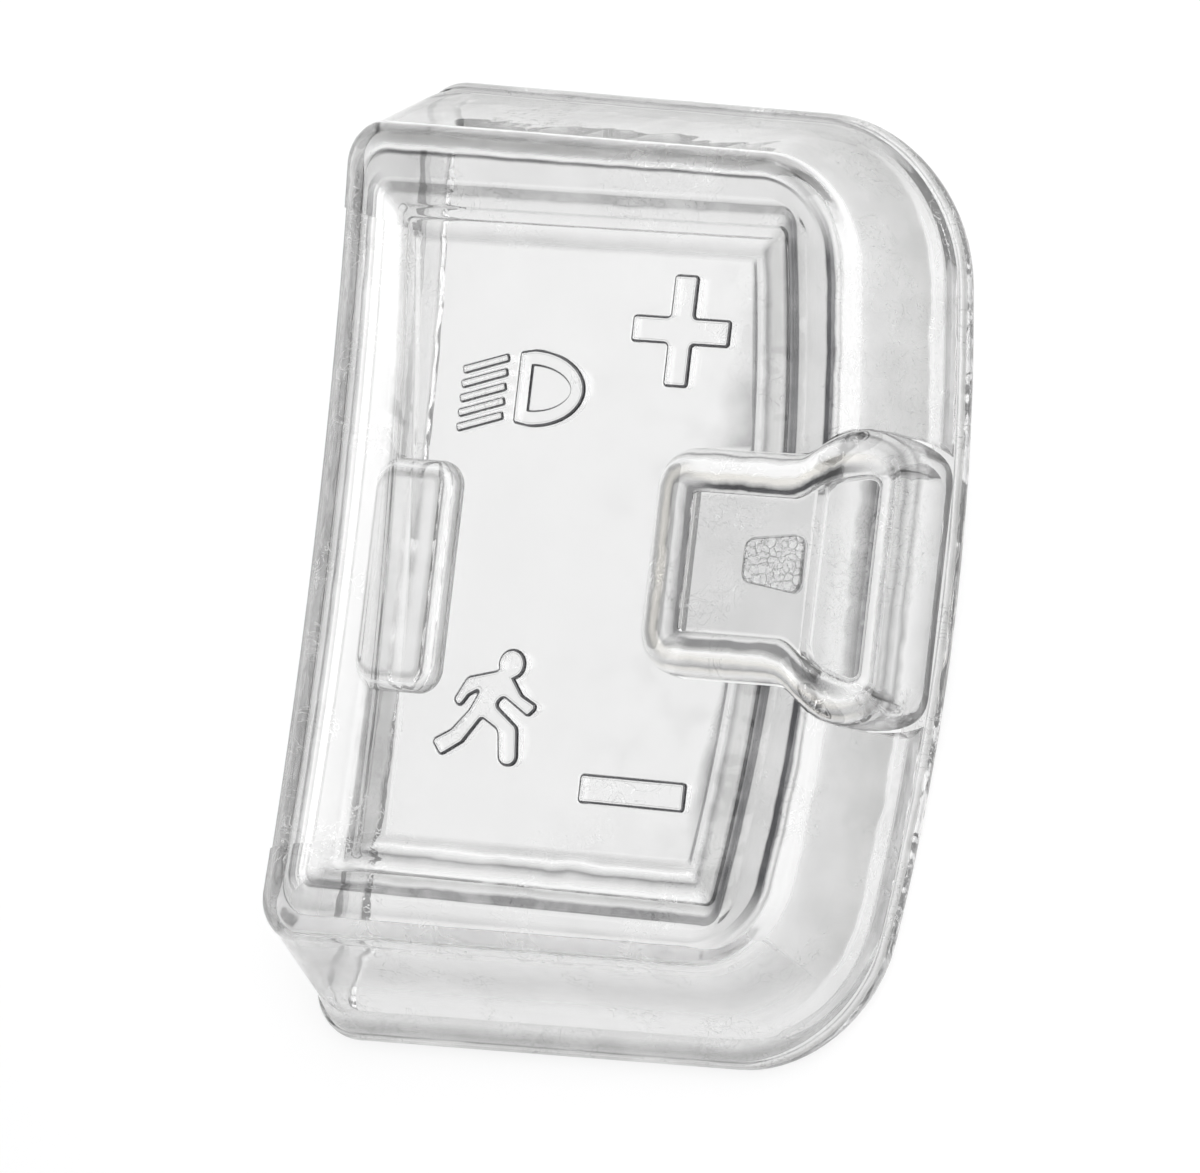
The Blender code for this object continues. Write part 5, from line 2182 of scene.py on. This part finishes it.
@dataclass
class Studio:
    """A plain pale floor that curves up far behind, soft boxes and a dim grey room round them."""

    paper: StudioPaper = StudioPaper()
    floor_drop: float = 0.02 * MM
    floor_radius: float = 1.3
    wall_height: float = 0.5
    curve_steps: int = 8
    turn_steps: int = 96
    weld: float = 1e-6
    lamps: tuple[Lamp, ...] = (
        Lamp("overhead_box", (0.25, 0.25, 0.9), (1.0, 1.0), 12.5),
        Lamp("left_strip", (-0.9, 0.2, 0.35), (0.25, 0.9), 1.2),
        Lamp("back_strip", (0.1, 1.0, 0.4), (0.9, 0.2), 1.2),
    )
    zenith_height: float = 0.9
    zenith: str = "#727272"
    horizon: str = "#4C4C4D"

    def build(self) -> None:
        """Adds the floor, the lamps and the room."""
        bm = bmesh.new()
        rise = self.wall_height
        profile = [(0.0, 0.0), (self.floor_radius, 0.0)]
        for _, up, short in quarter_round(self.curve_steps)[1:]:
            profile.append((self.floor_radius + rise * (1 - short), rise * up))
        verts = [bm.verts.new((x, 0, z - self.floor_drop)) for x, z in profile]
        edges = [bm.edges.new(pair) for pair in zip(verts, verts[1:])]
        bmesh.ops.spin(
            bm,
            geom=verts + edges,
            axis=(0, 0, 1),
            cent=(0, 0, 0),
            angle=math.tau,
            steps=self.turn_steps,
            use_merge=True,
        )
        bmesh.ops.remove_doubles(bm, verts=bm.verts, dist=self.weld)
        bmesh.ops.recalc_face_normals(bm, faces=bm.faces)
        floor = make_object("studio_floor", bm, Vector((0, 0, 0)))
        floor.data.materials.append(self.paper.material())
        floor.data.shade_smooth()
        for lamp in self.lamps:
            lamp.build()
        self.room()

    def room(self) -> None:
        """Adds the dim room: it gives the folds their slate lines, and is lighter overhead."""
        world = bpy.data.worlds.new("dim_room")
        add = partial(add_node, bare_tree(world))
        place = add("TexCoord")
        split = add("SeparateXYZ", {0: place.outputs["Generated"]})
        height = add("MapRange", {0: split.outputs[2], 1: 0.0, 2: self.zenith_height})
        low, high = linear(self.horizon), linear(self.zenith)
        tone = add("Mix", {0: height, 6: low, 7: high}, data_type="RGBA")
        light = add("Background", {0: tone.outputs[2], 1: 1.0})
        add("OutputWorld", {0: light})
        bpy.context.scene.world = world


@dataclass(frozen=True)
class PhotoCamera:
    """The camera at the photograph's angle: a long lens, seen from the right and above."""

    right: tuple[float, float, float] = (0.86007, 0.11501, -0.49704)
    up: tuple[float, float, float] = (-0.07095, 0.99176, 0.10671)
    view_width: float = 91.25 * MM
    lens: float = 300.0
    sensor: float = 36.0
    aim: tuple[float, float, float] = (-4.82 * MM, -0.4 * MM, 6.9 * MM)
    mould_origin: float = -0.1 * MM
    nearest: float = 0.05
    farthest: float = 20.0

    def build(self) -> None:
        """Adds the camera and makes it the scene's."""
        u = Vector(self.right).normalized()
        v = Vector(self.up)
        v = (v - u * v.dot(u)).normalized()
        w = u.cross(v)
        target = u * self.aim[0] + v * self.aim[1] + w * self.aim[2]
        target += Vector((self.mould_origin, 0, 0))
        data = bpy.data.cameras.new("photo_camera")
        data.lens, data.sensor_width = self.lens, self.sensor
        data.clip_start, data.clip_end = self.nearest, self.farthest
        camera = bpy.data.objects.new("photo_camera", data)
        camera.matrix_world = Matrix.Translation(
            target + w * self.view_width * self.lens / self.sensor
        ) @ Matrix((u, v, w)).transposed().to_4x4()
        bpy.context.scene.collection.objects.link(camera)
        bpy.context.scene.camera = camera


def main() -> None:
    """Builds every piece in order."""
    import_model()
    bpy.context.scene.view_settings.view_transform = "Standard"
    PhotoCamera().build()
    Studio().build()

    plan = CoverPlan()
    shell = ClearMoulding(painted_bands=FACE_PAINTED_BANDS)
    keys = replace(
        shell,
        name="moulded clear elastomer, signs",
        painted_bands=SIGN_PAINTED_BANDS,
        wave_mm=3.5,
        fold_wave_depth=shell.wave_depth,
    )
    pad = replace(keys, name="moulded clear elastomer, thumb key", painted_bands=THUMB_PAINTED_BANDS)
    band = replace(shell, name="moulded clear elastomer, rim", painted_bands=RIM_PAINTED_BANDS, ior=1.36)
    thumb = ThumbKey(plan, pad, CrazedMoulding(painted_bands=PATCH_PAINTED_BANDS))
    pocket = SidePocket(plan)
    signs = SignSet(plan, pocket, keys).signs()
    Face(plan, shell).build(pocket, [thumb.opening(), *(sign.opening() for sign in signs)])
    RimBand(plan, band).build()
    thumb.build()
    for sign in signs:
        sign.build()


if __name__ == "__main__":
    logging.basicConfig(level=logging.INFO, format="%(name)s: %(message)s")
    main()
